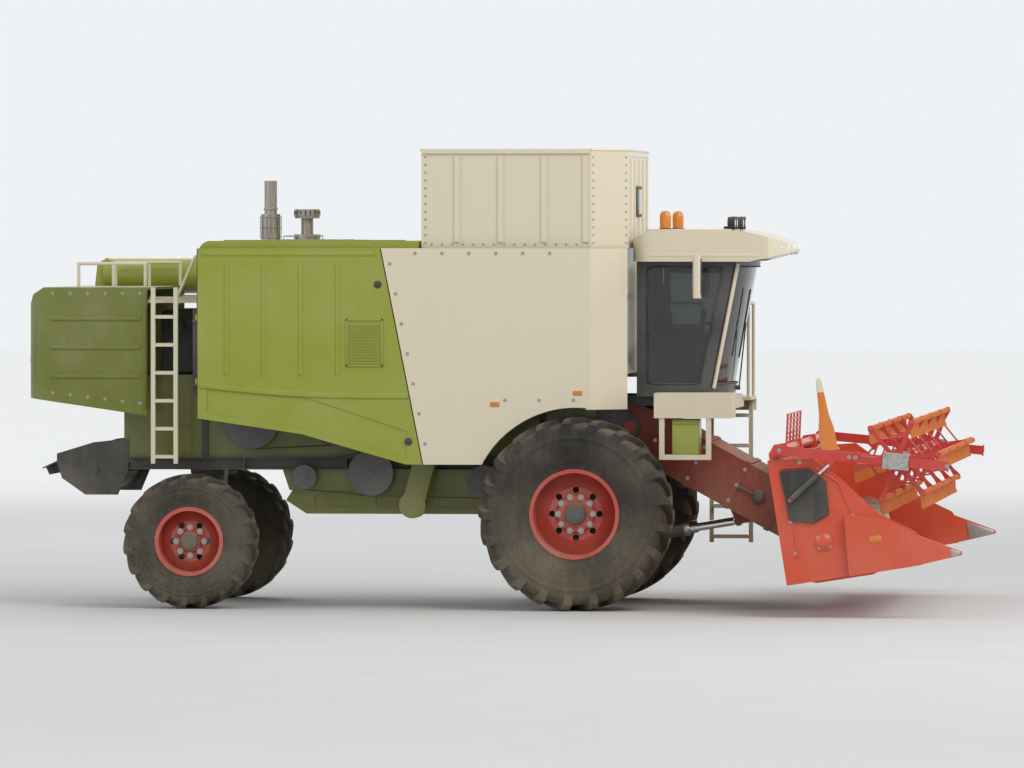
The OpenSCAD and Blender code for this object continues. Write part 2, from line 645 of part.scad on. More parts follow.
module front_panels() machine() color(cream) {
    // Inward offset of the slanted corner's inner face
    corner_in = [-corner_w, corner_l] * panel_t / norm([corner_w, corner_l]);
    translate([0, -panel_y + panel_t / 2, 0]) arched_panel(panel_top_z, corner_x);
    translate([corner_x, -panel_y, arch_z]) linear_extrude(panel_top_z - arch_z - 1) polygon([[-40, 1], [1, 1],
        [corner_l, corner_w], [corner_l, corner_w] + corner_in, [-8, panel_t - 1], [-40, panel_t - 1]]);
    translate([0, panel_y - panel_t / 2, 0]) arched_panel(left_top_z, swing_x - spout_r - 60);
    // Stays that carry the panels on the tank
    for (x = [-1350, -100]) {
        block([x, -panel_y + panel_t - 1, 2700], [x + 50, -tank_half_w - 0.3, 2760]);
        block([x, tank_half_w + 0.3, 2700], [x + 50, panel_y - panel_t + 1, 2760]);
    }
    // Rear edge frame of the cream panels that the covers close against
    both_sides() block([seam_low_x + 60, panel_y - panel_t - 30, panel_low_z + 80],
        [seam_low_x + 100, panel_y - panel_t + 1, left_top_z - 60]);
}

// A green cover with its lower band set in below a moulded crease
module side_cover(top) {
    top_seam_x = seam_low_x - (seam_low_x - seam_top_x) * (top - panel_low_z) / (panel_top_z - panel_low_z);
    crease_z = 2120;
    low_rear = [cover_rear_x, 1840];
    difference() {
        across(panel_y - panel_t, panel_y) polygon([low_rear, [cover_rear_x, top], [top_seam_x - 12, top],
            [seam_low_x - 12, panel_low_z], [-1640, panel_low_z], [-2650, 1690]]);
        across(panel_y - 9, panel_y + 1) polygon([[cover_rear_x + 90, crease_z], [-2650, crease_z - 60],
            [seam_low_x - 160, crease_z - 400], [seam_low_x - 160, panel_low_z + 60], [-1640, panel_low_z + 60],
            [-2640, 1750], [cover_rear_x + 90, 1890]]);
    }
    // Hinge leaves and barrels at the rear edge
    for (z = cover_hinge_z) difference() {
        union() {
            block([cover_hinge_x, cover_hinge_y - 6, z + seat_gap], [cover_rear_x + 1, cover_hinge_y + 6, z + 50]);
            translate([cover_hinge_x, cover_hinge_y, z + seat_gap]) cylinder(r = 11, h = 50 - seat_gap);
        }
        translate([cover_hinge_x, cover_hinge_y, z]) cylinder(r = 7.5, h = 60);
    }
    // Edge ribs on the inner side
    across(panel_y - panel_t - cover_rib, panel_y - panel_t + 1) difference() {
        polygon([[cover_rear_x + 60, 1900], [cover_rear_x + 60, top - 60], [top_seam_x - 80, top - 60],
            [seam_low_x - 90, 1560], [-1660, 1560], [-2640, 1760]]);
        polygon([[cover_rear_x + 110, 1950], [cover_rear_x + 110, top - 110], [top_seam_x - 130, top - 110],
            [seam_low_x - 140, 1620], [-1680, 1620], [-2640, 1820]]);
    }
}
module cover_left() machine() color(green) side_cover(left_top_z);
module cover_right() machine() color(green) mirror([0, 1, 0]) side_cover(panel_top_z);

module rear_hood() machine() color(green) {
    difference() {
        intersection() {
            across(-hood_half_w, hood_half_w) hood_profile(0);
            // Rounded rear corners seen from above
            linear_extrude(hood_top_z + 1) union() {
                translate([hood_rear_x + 160, -hood_half_w]) square([1400, 2 * hood_half_w]);
                translate([hood_rear_x, -hood_half_w + 160]) square([400, 2 * hood_half_w - 320]);
                for (s = [-1, 1]) translate([hood_rear_x + 160, s * (hood_half_w - 160)]) circle(160);
            }
        }
        intersection() {
            across(-hood_half_w + hood_t, hood_half_w - hood_t) hood_profile(hood_t);
            linear_extrude(hood_top_z + 1) union() {
                translate([hood_rear_x + 160, -hood_half_w]) square([1400, 2 * hood_half_w]);
                translate([hood_rear_x + hood_t, -hood_half_w + 160]) square([400, 2 * hood_half_w - 320]);
                for (s = [-1, 1]) translate([hood_rear_x + 160, s * (hood_half_w - 160)]) circle(160 - hood_t);
            }
        }
        // Louvres in the rear wall
        for (i = [0 : 5]) block([hood_rear_x - 1, -700, 2500 + i * 70], [hood_rear_x + hood_t + 1, 700, 2530 + i * 70]);
        // Recesses of the tail lamps
        both_sides() for (i = [0 : 1]) block([hood_rear_x - 1, hood_half_w - 520.3 + i * 130, 2139.7],
            [hood_rear_x + hood_t + 1, hood_half_w - 399.7 + i * 130, 2260.3]);
        // The threshing body and its deck run in through the front
        block([body_rear_x - 12, -body_half_w - rail_w - 12, 1300], [-3600, body_half_w + rail_w + 12, body_top_z + 12]);
    }
    // Brackets onto the threshing body
    both_sides() for (x = [-4460, -4320])
        block([x, body_half_w + 0.3, 2100], [x + 40, hood_half_w - hood_t + 1, 2140]);
}

hood_front_x = body_rear_x + 300;
walk_z = hood_top_z - 150;
post_foot = [hood_front_x + 268, walk_z + 25];

module hood_profile(in) {
    x0 = hood_rear_x + in;
    x1 = hood_front_x + (in > 0 ? 1 : 0);
    polygon([[x0, 2030 - (in > 0 ? 30 : 0)], [x0, hood_top_z - 180], [x0 + 40, hood_top_z - 70],
        [x0 + 150, hood_top_z - in], [x1, hood_top_z - in], [x1, 1860 - (in > 0 ? 30 : 0)]]);
}

module deck_rails() machine() color(cream) {
    top = hood_top_z + 230;
    rail_y = hood_half_w - 90;
    // Low rails along the hood
    both_sides() {
        for (x = [hood_rear_x + 480, hood_rear_x + 820, hood_rear_x + 1130])
            translate([x, rail_y, hood_top_z + 0.3]) cylinder(r = 16, h = top - hood_top_z);
        strut_xz([hood_rear_x + 464, top], [hood_rear_x + 1146, top], 16, rail_y);
    }
    // Sloping posts from the hood's front edge to the engine cover
    for (y = [-rail_y, rail_y - 180]) {
        strut_xz(post_foot, post_foot + [192, 425], 16, y);
        strut_xz(post_foot + [191, 425], [cover_rear_x - seat_gap, post_foot[1] + 425], 16, y);
    }
    // Walkway between the hood and the engine cover
    block([hood_front_x + 1, -hood_half_w + 40, walk_z], [cover_rear_x - seat_gap, hood_half_w - 100, walk_z + 30]);
    for (y = [-1150, 1100])
        block([hood_front_x + 1, y, walk_z + 29], [cover_rear_x - seat_gap, y + 30, walk_z + 60]);
}

module rear_ladder() machine() color(cream) {
    x0 = -4130;
    x1 = -3870;
    low_z = 2 * rear_tyre_r + 100;
    for (x = [x0, x1 - 40]) block([x, -hood_half_w - 90, low_z], [x + 40, -hood_half_w - 40, hood_top_z]);
    for (i = [0 : 5]) block([x0 + 39, -hood_half_w - 85, low_z + 50 + i * 270],
        [x1 - 39, -hood_half_w - 45, low_z + 80 + i * 270]);
    for (x = [x0, x1 - 40]) block([x, -hood_half_w - 41, walk_z - 5], [x + 40, -hood_half_w + 41, walk_z - seat_gap]);
}

// Cab

// The cab's outer form, set in by a distance on the walls and the curved windscreen
module cab_form(in) intersection() {
    block([cab_rear_x + in, cab_right_y + in, cab_floor_z], [visor_x, cab_left_y - in, cab_roof_z]);
    translate([cab_front_x, cab_mid_y, cab_floor_z]) rotate([0, cab_lean, 0])
        translate([-screen_r, 0, -1500]) cylinder(r = screen_r - in, h = 4000, $fn = 180);
}

// A wall between two depths in from the cab's outer form
module cab_wall(out, in) difference() {
    cab_form(out);
    cab_form(in);
}

sill_z = cab_floor_z + 120;
door_low_z = cab_floor_z + 65;
door_rear_x = cab_rear_x + post_t + 30;
side_front_x = cab_front_x - screen_bulge - post_t - 30;
lean_run = tan(cab_lean);

module side_window(low, in) polygon([[door_rear_x + in, low + in],
    [side_front_x + (low - cab_floor_z) * lean_run - in, low + in],
    [side_front_x + (cab_roof_z - 50 - cab_floor_z) * lean_run - in, cab_roof_z - 50 - in],
    [door_rear_x + in, cab_roof_z - 50 - in]]);

module front_window(in) block([cab_rear_x + 300, cab_right_y + post_t + 10 + in, sill_z + in],
    [visor_x, cab_left_y - post_t - 10 - in, cab_roof_z - 50 - in]);
module rear_window(in) block([cab_rear_x - 1, cab_right_y + 200 + in, cab_floor_z + 600 + in],
    [cab_rear_x + post_t + 1, cab_left_y - 200 - in, cab_roof_z - 60 - in]);

module cab_frame() machine() color(dark) {
    difference() {
        cab_wall(0, post_t);
        front_window(0);
        rear_window(0);
        across(cab_right_y - 1, cab_right_y + post_t + 1) side_window(sill_z, 0);
        across(cab_left_y - post_t - 1, cab_left_y + 1) side_window(door_low_z, 0);
    }
    intersection() {
        cab_form(post_t - 1);
        block([0, -2000, cab_floor_z], [visor_x, 2000, cab_floor_z + 60]);
    }
    // Hinge lugs under the door's barrels
    for (z = door_hinge_z) translate([0, 0, z - 30]) linear_extrude(30 - seat_gap) {
        translate([door_rear_x - 40, cab_left_y - 1]) square([40, hinge_py + hinge_r - cab_left_y + 1]);
        translate([door_rear_x - 1, hinge_py - 3]) square([hinge_px - door_rear_x + 1, hinge_r + 3]);
        translate([hinge_px, hinge_py]) circle(hinge_r);
    }
    // Mounts under the floor, down to the pivot brackets and the threshing body
    both_sides() block([body_front_x + 0.3, feeder_half_w + 14, pivot_z + 205], [cab_rear_x + 200, feeder_half_w + 54,
        cab_floor_z + 1]);
}

module cab_roof() machine() color(cream) difference() {
    cab_roof_form();
    block([cab_rear_x + 20, cab_right_y - 60, cab_roof_z], [cab_front_x + 330, cab_left_y + 60, cab_roof_z + roof_h - 60]);
}

module cab_roof_form() intersection() {
    across(cab_right_y - 110, cab_left_y + 110) polygon([[cab_rear_x - 40, cab_roof_z + seat_gap],
        [cab_front_x + 230, cab_roof_z + seat_gap], [visor_x - 20, cab_roof_z + 90], [visor_x, cab_roof_z + 120],
        [visor_x - 90, cab_roof_z + 190], [visor_x - 340, cab_roof_z + roof_h - 30],
        [visor_x - 560, cab_roof_z + roof_h], [cab_rear_x + 120, cab_roof_z + roof_h],
        [cab_rear_x - 40, cab_roof_z + roof_h - 90]]);
    translate([0, cab_mid_y, cab_roof_z]) linear_extrude(roof_h + 1) intersection() {
        union() {
            translate([cab_rear_x - 40, -cab_half_w + 70]) square([2000, 2 * cab_half_w - 140]);
            translate([cab_rear_x + 140, -cab_half_w - 110]) square([1100, 2 * cab_half_w + 220]);
            for (s = [-1, 1]) {
                translate([cab_rear_x + 140, s * (cab_half_w - 70)]) circle(180);
                translate([cab_rear_x + 1240, s * (cab_half_w - 70)]) circle(180);
            }
        }
        translate([visor_x - screen_r, 0]) circle(screen_r, $fn = 180);
    }
}

module cab_glass() machine() color("darkslategray") {
    intersection() {
        cab_wall(22, 22 + glass_t);
        union() {
            front_window(seat_gap);
            rear_window(seat_gap);
            across(cab_right_y - 1, cab_right_y + post_t + 1) side_window(sill_z, seat_gap);
        }
    }
}

module door_panel(in) across(cab_left_y - post_t - 1, cab_left_y + 1) side_window(door_low_z, in);

module cab_door() machine() color(dark) {
    difference() {
        intersection() {
            cab_wall(0, 42);
            door_panel(door_gap);
        }
        difference() {
            door_panel(door_gap + 55);
            block([0, 0, cab_floor_z], [visor_x, 2000, cab_floor_z + 180]);
        }
    }
    // Hinge barrels and the grab handle
    for (z = door_hinge_z)
        translate([hinge_px, hinge_py, z]) cylinder(r = 10, h = 90);
    block([side_front_x + 30, cab_left_y - 2, cab_floor_z + 420], [side_front_x + 60, cab_left_y + 40, cab_floor_z + 450]);
    block([side_front_x + 30, cab_left_y + 25, cab_floor_z + 449], [side_front_x + 60, cab_left_y + 40, cab_floor_z + 720]);
    block([side_front_x + 30, cab_left_y - 2, cab_floor_z + 719], [side_front_x + 60, cab_left_y + 40, cab_floor_z + 749]);
}
hinge_px = door_rear_x + 12;
hinge_py = cab_left_y + 8;
hinge_r = 7.5;
door_hinge_z = [cab_floor_z + 250, cab_roof_z - 300];

module door_glass() machine() color("darkslategray") intersection() {
    cab_wall(18, 18 + glass_t);
    difference() {
        door_panel(door_gap + 55 + seat_gap);
        block([0, 0, cab_floor_z], [visor_x, 2000, cab_floor_z + 180 + seat_gap]);
    }
}

module cab_seat() machine() color(dark) translate([1000, cab_mid_y, cab_floor_z + 60.3]) {
    cylinder(r = 150, h = 40);
    cylinder(r = 60, h = 330);
    translate([-240, -240, 329]) cube([400, 480, 30]);
    translate([-35, 0, 358]) linear_extrude(110) rounded(430, 500, 90);
    translate([-235, 0, 440]) rotate([0, -10, 0]) rotate([0, 0, 90]) linear_extrude(620) rounded(470, 110, 50);
    for (s = [-1, 1]) translate([-60, s * 290, 560]) linear_extrude(60) rounded(330, 70, 30);
    for (s = [-1, 1]) block([-180, s * 270 - 20, 400], [-140, s * 270 + 20, 561]);
}

module cab_console() machine() color(dark) translate([0, cab_mid_y, cab_floor_z + 60.3]) {
    translate([1290, 0, 7]) rotate([0, -8, 0]) {
        cylinder(r = 40, h = 640);
        translate([0, 0, 640]) rotate_extrude() translate([180, 0]) circle(15);
        translate([0, 0, 632]) cylinder(r = 50, h = 24);
        for (a = [90, 210, 330]) rotate([0, 0, a]) translate([30, -12, 634]) cube([140, 24, 14]);
    }
    block([1235, -60, 0], [1335, 60, 25]);
    // Right hand console with its screen
    block([720, -520, 0], [1080, -400, 600]);
    block([1079, -500, 430], [1252, -420, 560]);
    translate([1251, -520, 540]) rotate([0, 0, 12]) cube([26, 220, 190]);
}

module lamp(at, r) translate(at) rotate([0, 90, 0]) {
    cylinder(r = r, h = 60);
    translate([0, 0, 58]) cylinder(r = r - 14, h = 12);
}

module lamps() machine() color("lightyellow") {
    // Work lamps on the roof visor
    for (y = [-620, -380, 380, 620]) {
        lamp([visor_x - 640, cab_mid_y + y, cab_roof_z + roof_h + 72], 60);
        block([visor_x - 680, cab_mid_y + y - 25, cab_roof_z + roof_h + seat_gap],
            [visor_x - 600, cab_mid_y + y + 25, cab_roof_z + roof_h + 40]);
    }
    // Warning beacons at the rear of the roof
    for (y = [-700, 700]) translate([cab_rear_x + 260, cab_mid_y + y, cab_roof_z + roof_h + seat_gap]) {
        cylinder(r = 66, h = 20);
        cylinder(r = 52, h = 120);
        translate([0, 0, 120]) sphere(r = 52);
    }
    // Tail lamps on the hood
    both_sides() for (i = [0 : 1]) block([hood_rear_x + 4, hood_half_w - 520 + i * 130, 2140],
        [hood_rear_x + hood_t, hood_half_w - 400 + i * 130, 2260]);
}

// A mirror hangs from an arm on the roof's side
module mirror_unit(x, side) {
    roof_side = cab_mid_y + side * (cab_half_w + 110 + seat_gap);
    glass_y = cab_mid_y + side * (cab_half_w + 330);
    arm_h = cab_roof_z + 80;
    translate([x, glass_y + side * 85, arm_h - 430]) linear_extrude(420) rotate(90) rounded(180, 70, 30);
    pin_y(x, arm_h - 30, 16, min(roof_side, glass_y + side * 100), max(roof_side, glass_y + side * 100));
}

module mirrors() machine() color(cream) {
    mirror_unit(mirror_left_x, 1);
    mirror_unit(mirror_right_x, -1);
}
mirror_left_x = 1400;
mirror_right_x = 1160;

module rail_post(x, y, z0, z1) translate([x, y, z0]) cylinder(r = 17, h = z1 - z0);

module platforms() machine() color(cream) {
    deck_z = cab_floor_z - 40;
    deck_out = panel_y + 90;
    rail_top_z = deck_z + 920;
    // Left platform with its rails
    block([cab_rear_x - 40, cab_left_y + 20, deck_z - 30], [cab_front_x + 90, deck_out, deck_z]);
    block([cab_rear_x - 40, deck_out - 30, deck_z - 140], [cab_front_x + 90, deck_out, deck_z - 29]);
    for (x = [cab_rear_x, cab_rear_x + 420]) rail_post(x, deck_out - 20, deck_z - 1, rail_top_z);
    strut_xz([cab_rear_x - 16, rail_top_z], [cab_rear_x + 436, rail_top_z], 17, deck_out - 20);
    strut_xz([cab_rear_x, 2480], [cab_rear_x + 420, 2480], 14, deck_out - 20);
    rail_post(cab_front_x + 60, cab_left_y + 100, deck_z - 1, rail_top_z);
    rail_post(cab_front_x + 60, deck_out - 20, deck_z - 1, rail_top_z);
    pin_y(cab_front_x + 60, rail_top_z, 17, cab_left_y + 84, deck_out - 4);
    // Right platform fascia and step
    block([cab_rear_x + 210, -panel_y + 50, deck_z - 160], [cab_front_x + 90, cab_right_y - 20, deck_z + 80]);
    for (x = [cab_rear_x + 260, cab_front_x - 160]) block([x, -panel_y + 60, 1450], [x + 50, -panel_y + 100, deck_z - 159]);
    block([cab_rear_x + 261, -panel_y + 60, 1450], [cab_front_x - 111, -panel_y + 100, 1500]);
    // Beams under the cab that carry both platforms
    for (x = [cab_rear_x + 240, cab_front_x - 60]) {
        block([x, cab_right_y - 21, deck_z - 90], [x + 80, cab_left_y + 60, deck_z - 29]);
        block([x, cab_right_y + 100, deck_z - 30], [x + 80, cab_left_y - 100, cab_floor_z - seat_gap]);
    }
}

module front_ladder() machine() color(cream) {
    deck_z = cab_floor_z - 40;
    y0 = panel_y - seat_gap;
    x0 = front_tyre_r + 110;
    x1 = cab_front_x + 60;
    for (x = [x0, x1 - 40]) across(y0, y0 + 60) polygon([[x, 560], [x + 40, 560], [x + 40, deck_z - 30.3],
        [x, deck_z - 30.3]]);
    for (i = [0 : 4]) block([x0 + 39, y0 - 40, 600 + i * 300], [x1 - 39, y0 + 60, 630 + i * 300]);
}

// Unloading auger

module auger_turret() machine() color(cream) {
    difference() {
        union() {
            translate([swing_x, swing_y, body_top_z - 50]) cylinder(r = spout_r, h = spout_z - spout_r - 26 - body_top_z + 50);
            translate([swing_x, swing_y, spout_z - spout_r - 55]) cylinder(r = spout_r + 30, h = 30 - seat_gap);
            // Elbow from the tank's cross auger
            translate([swing_x, tank_half_w - 200, body_top_z + 130]) rotate([-90, 0, 0])
                cylinder(r = spout_r - 10, h = swing_y - tank_half_w + 200);
        }
        translate([swing_x, swing_y, body_top_z - 20]) cylinder(r = spout_r - 12, h = 2000);
        block([-2000, -3000, 0], [3000, tank_half_w + seat_gap, 4000]);
    }
    // Cradle on the hood that the tube rests in
    difference() {
        across(swing_y - spout_r - 40, swing_y + 60) polygon([[-4300, hood_top_z - 400], [-4240, hood_top_z - 400],
            [-4240, spout_z - spout_r - run_gap], [-4300, spout_z - spout_r - run_gap]]);
        block([-5000, -2000, 0], [0, hood_half_w + seat_gap, 5000]);
    }
    block([-4300, hood_half_w + seat_gap, hood_top_z - 400], [-4240, hood_half_w + 40, hood_top_z - 300]);
}

module unloading_tube() machine() color(green) {
    wall = 10;
    difference() {
        union() {
            translate([swing_x, swing_y, spout_z - spout_r - 25]) cylinder(r = spout_r + 30, h = 25);
            translate([swing_x, swing_y, spout_z - spout_r - 1]) cylinder(r = spout_r, h = spout_r + 1);
            translate([swing_x, swing_y, spout_z]) sphere(r = spout_r);
            translate([swing_x, swing_y, spout_z]) rotate([0, -90, 0]) cylinder(r = spout_r, h = swing_x - spout_end_x);
            // Flanges where the tube sections bolt together
            for (d = [500, 2900]) translate([swing_x - d, swing_y, spout_z]) rotate([0, -90, 0])
                cylinder(r = spout_r + 14, h = 30);
            // Spout turned down at the end
            across(swing_y - 150, swing_y + 150) polygon([[spout_end_x + 160, spout_z - 60],
                [spout_end_x + 40, spout_z + spout_r - 4], [spout_end_x - 60, spout_z + 120],
                [spout_end_x - 110, spout_z - 330], [spout_end_x + 160, spout_z - 330]]);
        }
        translate([swing_x, swing_y, spout_z - spout_r - 30]) cylinder(r = spout_r - wall, h = spout_r);
        translate([swing_x - 100, swing_y, spout_z]) rotate([0, -90, 0])
            cylinder(r = spout_r - wall, h = swing_x - spout_end_x - 120);
        across(swing_y - 140, swing_y + 140) polygon([[spout_end_x + 150, spout_z - 50],
            [spout_end_x + 40, spout_z + 60], [spout_end_x - 50, spout_z + 60],
            [spout_end_x - 96, spout_z - 331], [spout_end_x + 150, spout_z - 331]]);
    }
}

// Feeder house and header

mouth_z = 560;
feeder_slope = atan2(pivot_z - mouth_z, wall_x - pivot_x);
feeder_l = norm([pivot_z - mouth_z, wall_x - pivot_x]);
lift_cyl_y = 470;
lift_base_x = 200;
lift_base_z = 620;
lift_pin_r = 24;
lift_eye_x = 1350;
lift_eye_z = -310;
lug_turn = feeder_slope - rest_lift;
// Rod eye of the lift cylinders at rest
eye_x = pivot_x + lift_eye_x * cos(lug_turn) + lift_eye_z * sin(lug_turn);
eye_z = pivot_z - lift_eye_x * sin(lug_turn) + lift_eye_z * cos(lug_turn);
eye_play = 8;

module feeder_local() translate([pivot_x, 0, pivot_z]) rotate([0, feeder_slope, 0]) children();

module feeder_house() lifted() color("maroon") {
    difference() {
        feeder_local() union() {
            block([-150, -feeder_half_w, -feeder_half_h], [feeder_l + 300, feeder_half_w, feeder_half_h]);
            for (x = [250, 700, 1150, 1600]) block([x, -feeder_half_w - 12, -feeder_half_h - 12],
                [x + 50, feeder_half_w + 12, feeder_half_h + 12]);
        }
        feeder_local() block([-151, -feeder_half_w + feeder_t, -feeder_half_h + feeder_t],
            [feeder_l + 301, feeder_half_w - feeder_t, feeder_half_h - feeder_t]);
        block([wall_x - 0.3, -1000, -500], [wall_x + 1500, 1000, 3000]);
    }
    both_sides() pin_y(pivot_x, pivot_z, pivot_pin_r, feeder_half_w - feeder_t - 20, feeder_half_w + 66);
    // Ears for the lift cylinders' rod eyes, with their pins
    feeder_local() for (y = [-lift_cyl_y, lift_cyl_y]) {
        for (s = [-1, 1]) across(y + s * 42 - 9, y + s * 42 + 9) difference() {
            union() {
                polygon([[lift_eye_x - 130, -feeder_half_h + 1], [lift_eye_x + 130, -feeder_half_h + 1],
                    [lift_eye_x + 40, lift_eye_z], [lift_eye_x - 40, lift_eye_z]]);
                translate([lift_eye_x, lift_eye_z]) circle(42);
            }
        }
        pin_y(lift_eye_x, lift_eye_z, lift_pin_r, y - 60, y + 60);
    }
}

// Lift cylinders, in the frame of their rest pose: x along the cylinder from its base pin
cyl_turn = atan2(eye_z - lift_base_z, eye_x - lift_base_x);
cyl_l = norm([eye_z - lift_base_z, eye_x - lift_base_x]);
module cyl_local(y) translate([lift_base_x, y, lift_base_z]) rotate([0, -cyl_turn, 0]) children();

module lift_barrels() machine() color(dark) for (y = [-lift_cyl_y, lift_cyl_y]) cyl_local(y) {
    difference() {
        union() {
            pin_y(0, 0, 44, -30, 30);
            rotate([0, 90, 0]) cylinder(r = 36, h = 70);
            translate([66, 0, 0]) rotate([0, 90, 0]) cylinder(r = 56, h = cyl_l - 550);
        }
        translate([80, 0, 0]) rotate([0, 90, 0]) cylinder(r = 33, h = cyl_l);
    }
    pin_y(0, 0, lift_pin_r, -68, 68);
}

module lift_rods() machine() color("silver") for (y = [-lift_cyl_y, lift_cyl_y]) cyl_local(y) difference() {
    union() {
        translate([cyl_l - 900, 0, 0]) rotate([0, 90, 0]) cylinder(r = 32.5, h = 870);
        pin_y(cyl_l, 0, 52, -27, 27);
    }
    pin_y(cyl_l, 0, lift_pin_r + eye_play, -40, 40);
}

module header_wall() lifted() color(header_red) difference() {
    across(-cut_half_w, cut_half_w) {
        translate([wall_x, trough_z]) square([sheet_t, wall_top_z - trough_z]);
        difference() {
            translate([trough_x, trough_z]) circle(auger_r + auger_gap + sheet_t, $fn = 96);
            translate([trough_x, trough_z]) circle(auger_r + auger_gap, $fn = 96);
            translate([trough_x, 0]) square([1000, 2000]);
            translate([trough_x - 1000, trough_z]) square([2000, 1000]);
        }
        translate([trough_x, floor_z]) square([knife_x - trough_x, sheet_t]);
        // Upper edge bent forward
        translate([wall_x, wall_top_z - sheet_t]) square([60, sheet_t]);
    }
    // Way through to the feeder house
    block([wall_x - 100, -feeder_half_w + 30, mouth_z - 250], [wall_x + sheet_t + 60, feeder_half_w - 30, mouth_z + 260]);
}

module header_frame() lifted() color(header_red) {
    beam = 100;
    x0 = wall_x - beam - 0.3;
    // Two channels, open to the rear
    for (z = [150, wall_top_z - beam]) difference() {
        block([x0, -cut_half_w, z], [x0 + beam, cut_half_w, z + beam]);
        block([x0 - 1, -cut_half_w - 1, z + 8], [x0 + beam - 8, cut_half_w + 1, z + beam - 8]);
    }
    for (y = [-4, -3, -2, -1, 1, 2, 3, 4] * (cut_half_w - 60) / 4)
        block([x0, y - 20, 151], [x0 + beam - 1, y + 20, wall_top_z - 1]);
    // Bearings of the reel's cross tube
    for (y = [-1, -1 / 3, 1 / 3, 1] * (cut_half_w - 165)) difference() {
        across(y - 15, y + 15) polygon([[x0 + 10, wall_top_z - 1], [arm_x - 60, wall_top_z + 6], [arm_x + 60, wall_top_z + 6],
            [arm_x + 60, arm_z + 60], [arm_x - 60, arm_z + 60], [x0 + 10, wall_top_z + 60]]);
        pin_y(arm_x, arm_z, cross_tube_r + 1, y - 16, y + 16);
    }
    // Crop shield over the feeder mouth
    shield = [[x0 + 5, wall_top_z - 1], [x0 + 25, wall_top_z - 1], [x0 + 105, shield_z], [x0 + 85, shield_z]];
    for (y = [-850, -430, 0, 430, 850 - 24]) across(y, y + 24) polygon(shield);
    for (i = [0 : 7]) translate([x0 + 24 + i * 9.3, 0, wall_top_z + 60 + i * 45]) rotate([0, 11, 0])
        block([-6, -850, 0], [8, 850, 16]);
    // Skid shoes under the floor
    for (y = [-1, -1 / 3, 1 / 3, 1] * (cut_half_w - 330)) across(y - 30, y + 30) polygon([[x0 + 60, 151], [x0 + 60, 110], [2160, 34],
        [2700, 34], [knife_x - 40, 70], [knife_x - 40, floor_z - 0.3], [2300, floor_z - 0.3], [2160, 80], [x0 + 90, 151]]);
}
cross_tube_r = 40;
shield_z = 1640;

module header_ends() lifted() color(header_red) both_sides() {
    y0 = cut_half_w + 0.3;
    difference() {
        across(y0, y0 + sheet_t) polygon([[wall_x - 100, 60], [wall_x - 100, wall_top_z], [wall_x + 330, wall_top_z - 40],
            [2560, 980], [2860, 600], [3180, 380], [3300, floor_z], [3180, 60]]);
        pin_y(trough_x, trough_z, 41, y0 - 1, y0 + sheet_t + 1);
    }
    // Pointed crop divider with a rounded tip
    intersection() {
        across(y0 + sheet_t - 1, y0 + divider_w) union() {
            polygon([[2500, 60], [2540, 640], [2860, 560], [3180, 350], [divider_x + 4, floor_z + 20 + divider_tip_r],
                [divider_x, floor_z + 20 - divider_tip_r], [3100, 60]]);
            translate([divider_x, floor_z + 20]) circle(divider_tip_r);
        }
        linear_extrude(1500) polygon([[2500, y0], [2500, y0 + divider_w], [3100, y0 + divider_w],
            [divider_x + 30, y0 + 34], [divider_x + 30, y0]]);
    }
    // Base ears of the reel lift cylinders
    across(y0 + sheet_t - 1, y0 + sheet_t + 13) polygon([[reel_base_x - 60, reel_base_z - 60],
        [reel_base_x + 60, reel_base_z - 60], [reel_base_x + 40, reel_base_z + 40], [reel_base_x - 40, reel_base_z + 40]]);
    pin_y(reel_base_x, reel_base_z, reel_pin_r, y0 + sheet_t, arm_mid_y + 34);
}

module knife() lifted() color("silver") {
    count = floor(cut_half_w / guard_pitch) - 1;
    half = guard_pitch / 2;
    translate([0, 0, floor_z - 16.3]) linear_extrude(16) union() {
        translate([knife_x - 30, -cut_half_w + 1]) square([40, 2 * cut_half_w - 2]);
        for (i = [-count : count]) translate([knife_x, i * guard_pitch])
            polygon([[0, -13], [50, -13], [120, -3], [120, 3], [50, 13], [0, 13]]);
    }
    translate([0, 0, floor_z - 0.8]) linear_extrude(5) union() {
        translate([knife_x + seat_gap, -cut_half_w + 1]) square([24, 2 * cut_half_w - 2]);
        for (i = [-count : count]) translate([knife_x + seat_gap + 20, (i + 0.5) * guard_pitch])
            polygon([[0, -half + 3], [55, -7], [55, 7], [0, half - 3]]);
    }
}

// A helical band round the X axis; lead is positive for a right-hand screw
module flight(l, lead, r0, r1, sheet) rotate([0, 90, 0])
    linear_extrude(l, twist = -360 * l / lead, slices = ceil(abs(l / lead) * 16), segments = 4, $fn = 4)
        translate([r0, -sheet / 2]) square([r1 - r0, sheet]);

module intake_auger() lifted() color("orangered") translate([trough_x, 0, trough_z]) rotate([0, 0, 90]) {
    inner = feeder_half_w - 60;
    half = cut_half_w - run_gap - 3;
    rotate([0, 90, 0]) difference() {
        translate([0, 0, -half]) cylinder(r = auger_tube_r, h = 2 * half);
        translate([0, 0, -half + 20]) cylinder(r = auger_tube_r - 10, h = 2 * half - 40);
        // Lightening holes in the end plates
        for (a = [0, 120, 240]) rotate(a) translate([95, 0, -half - 1]) cylinder(r = 30, h = 2 * half + 2);
    }
    rotate([0, 90, 0]) translate([0, 0, -half - 60]) cylinder(r = 40.5, h = 2 * half + 120);
    for (s = [-1, 1]) translate([s > 0 ? inner : -half, 0, 0])
        flight(half - inner, s * auger_lead, auger_tube_r - 4, auger_r, 46);
    // Retracting fingers across the feeder mouth
    for (i = [0 : 7]) translate([-inner + 60 + i * (2 * inner - 120) / 7, 0, 0]) rotate([i * 137.5, 0, 0])
        cylinder(r = 8, h = auger_r);
}

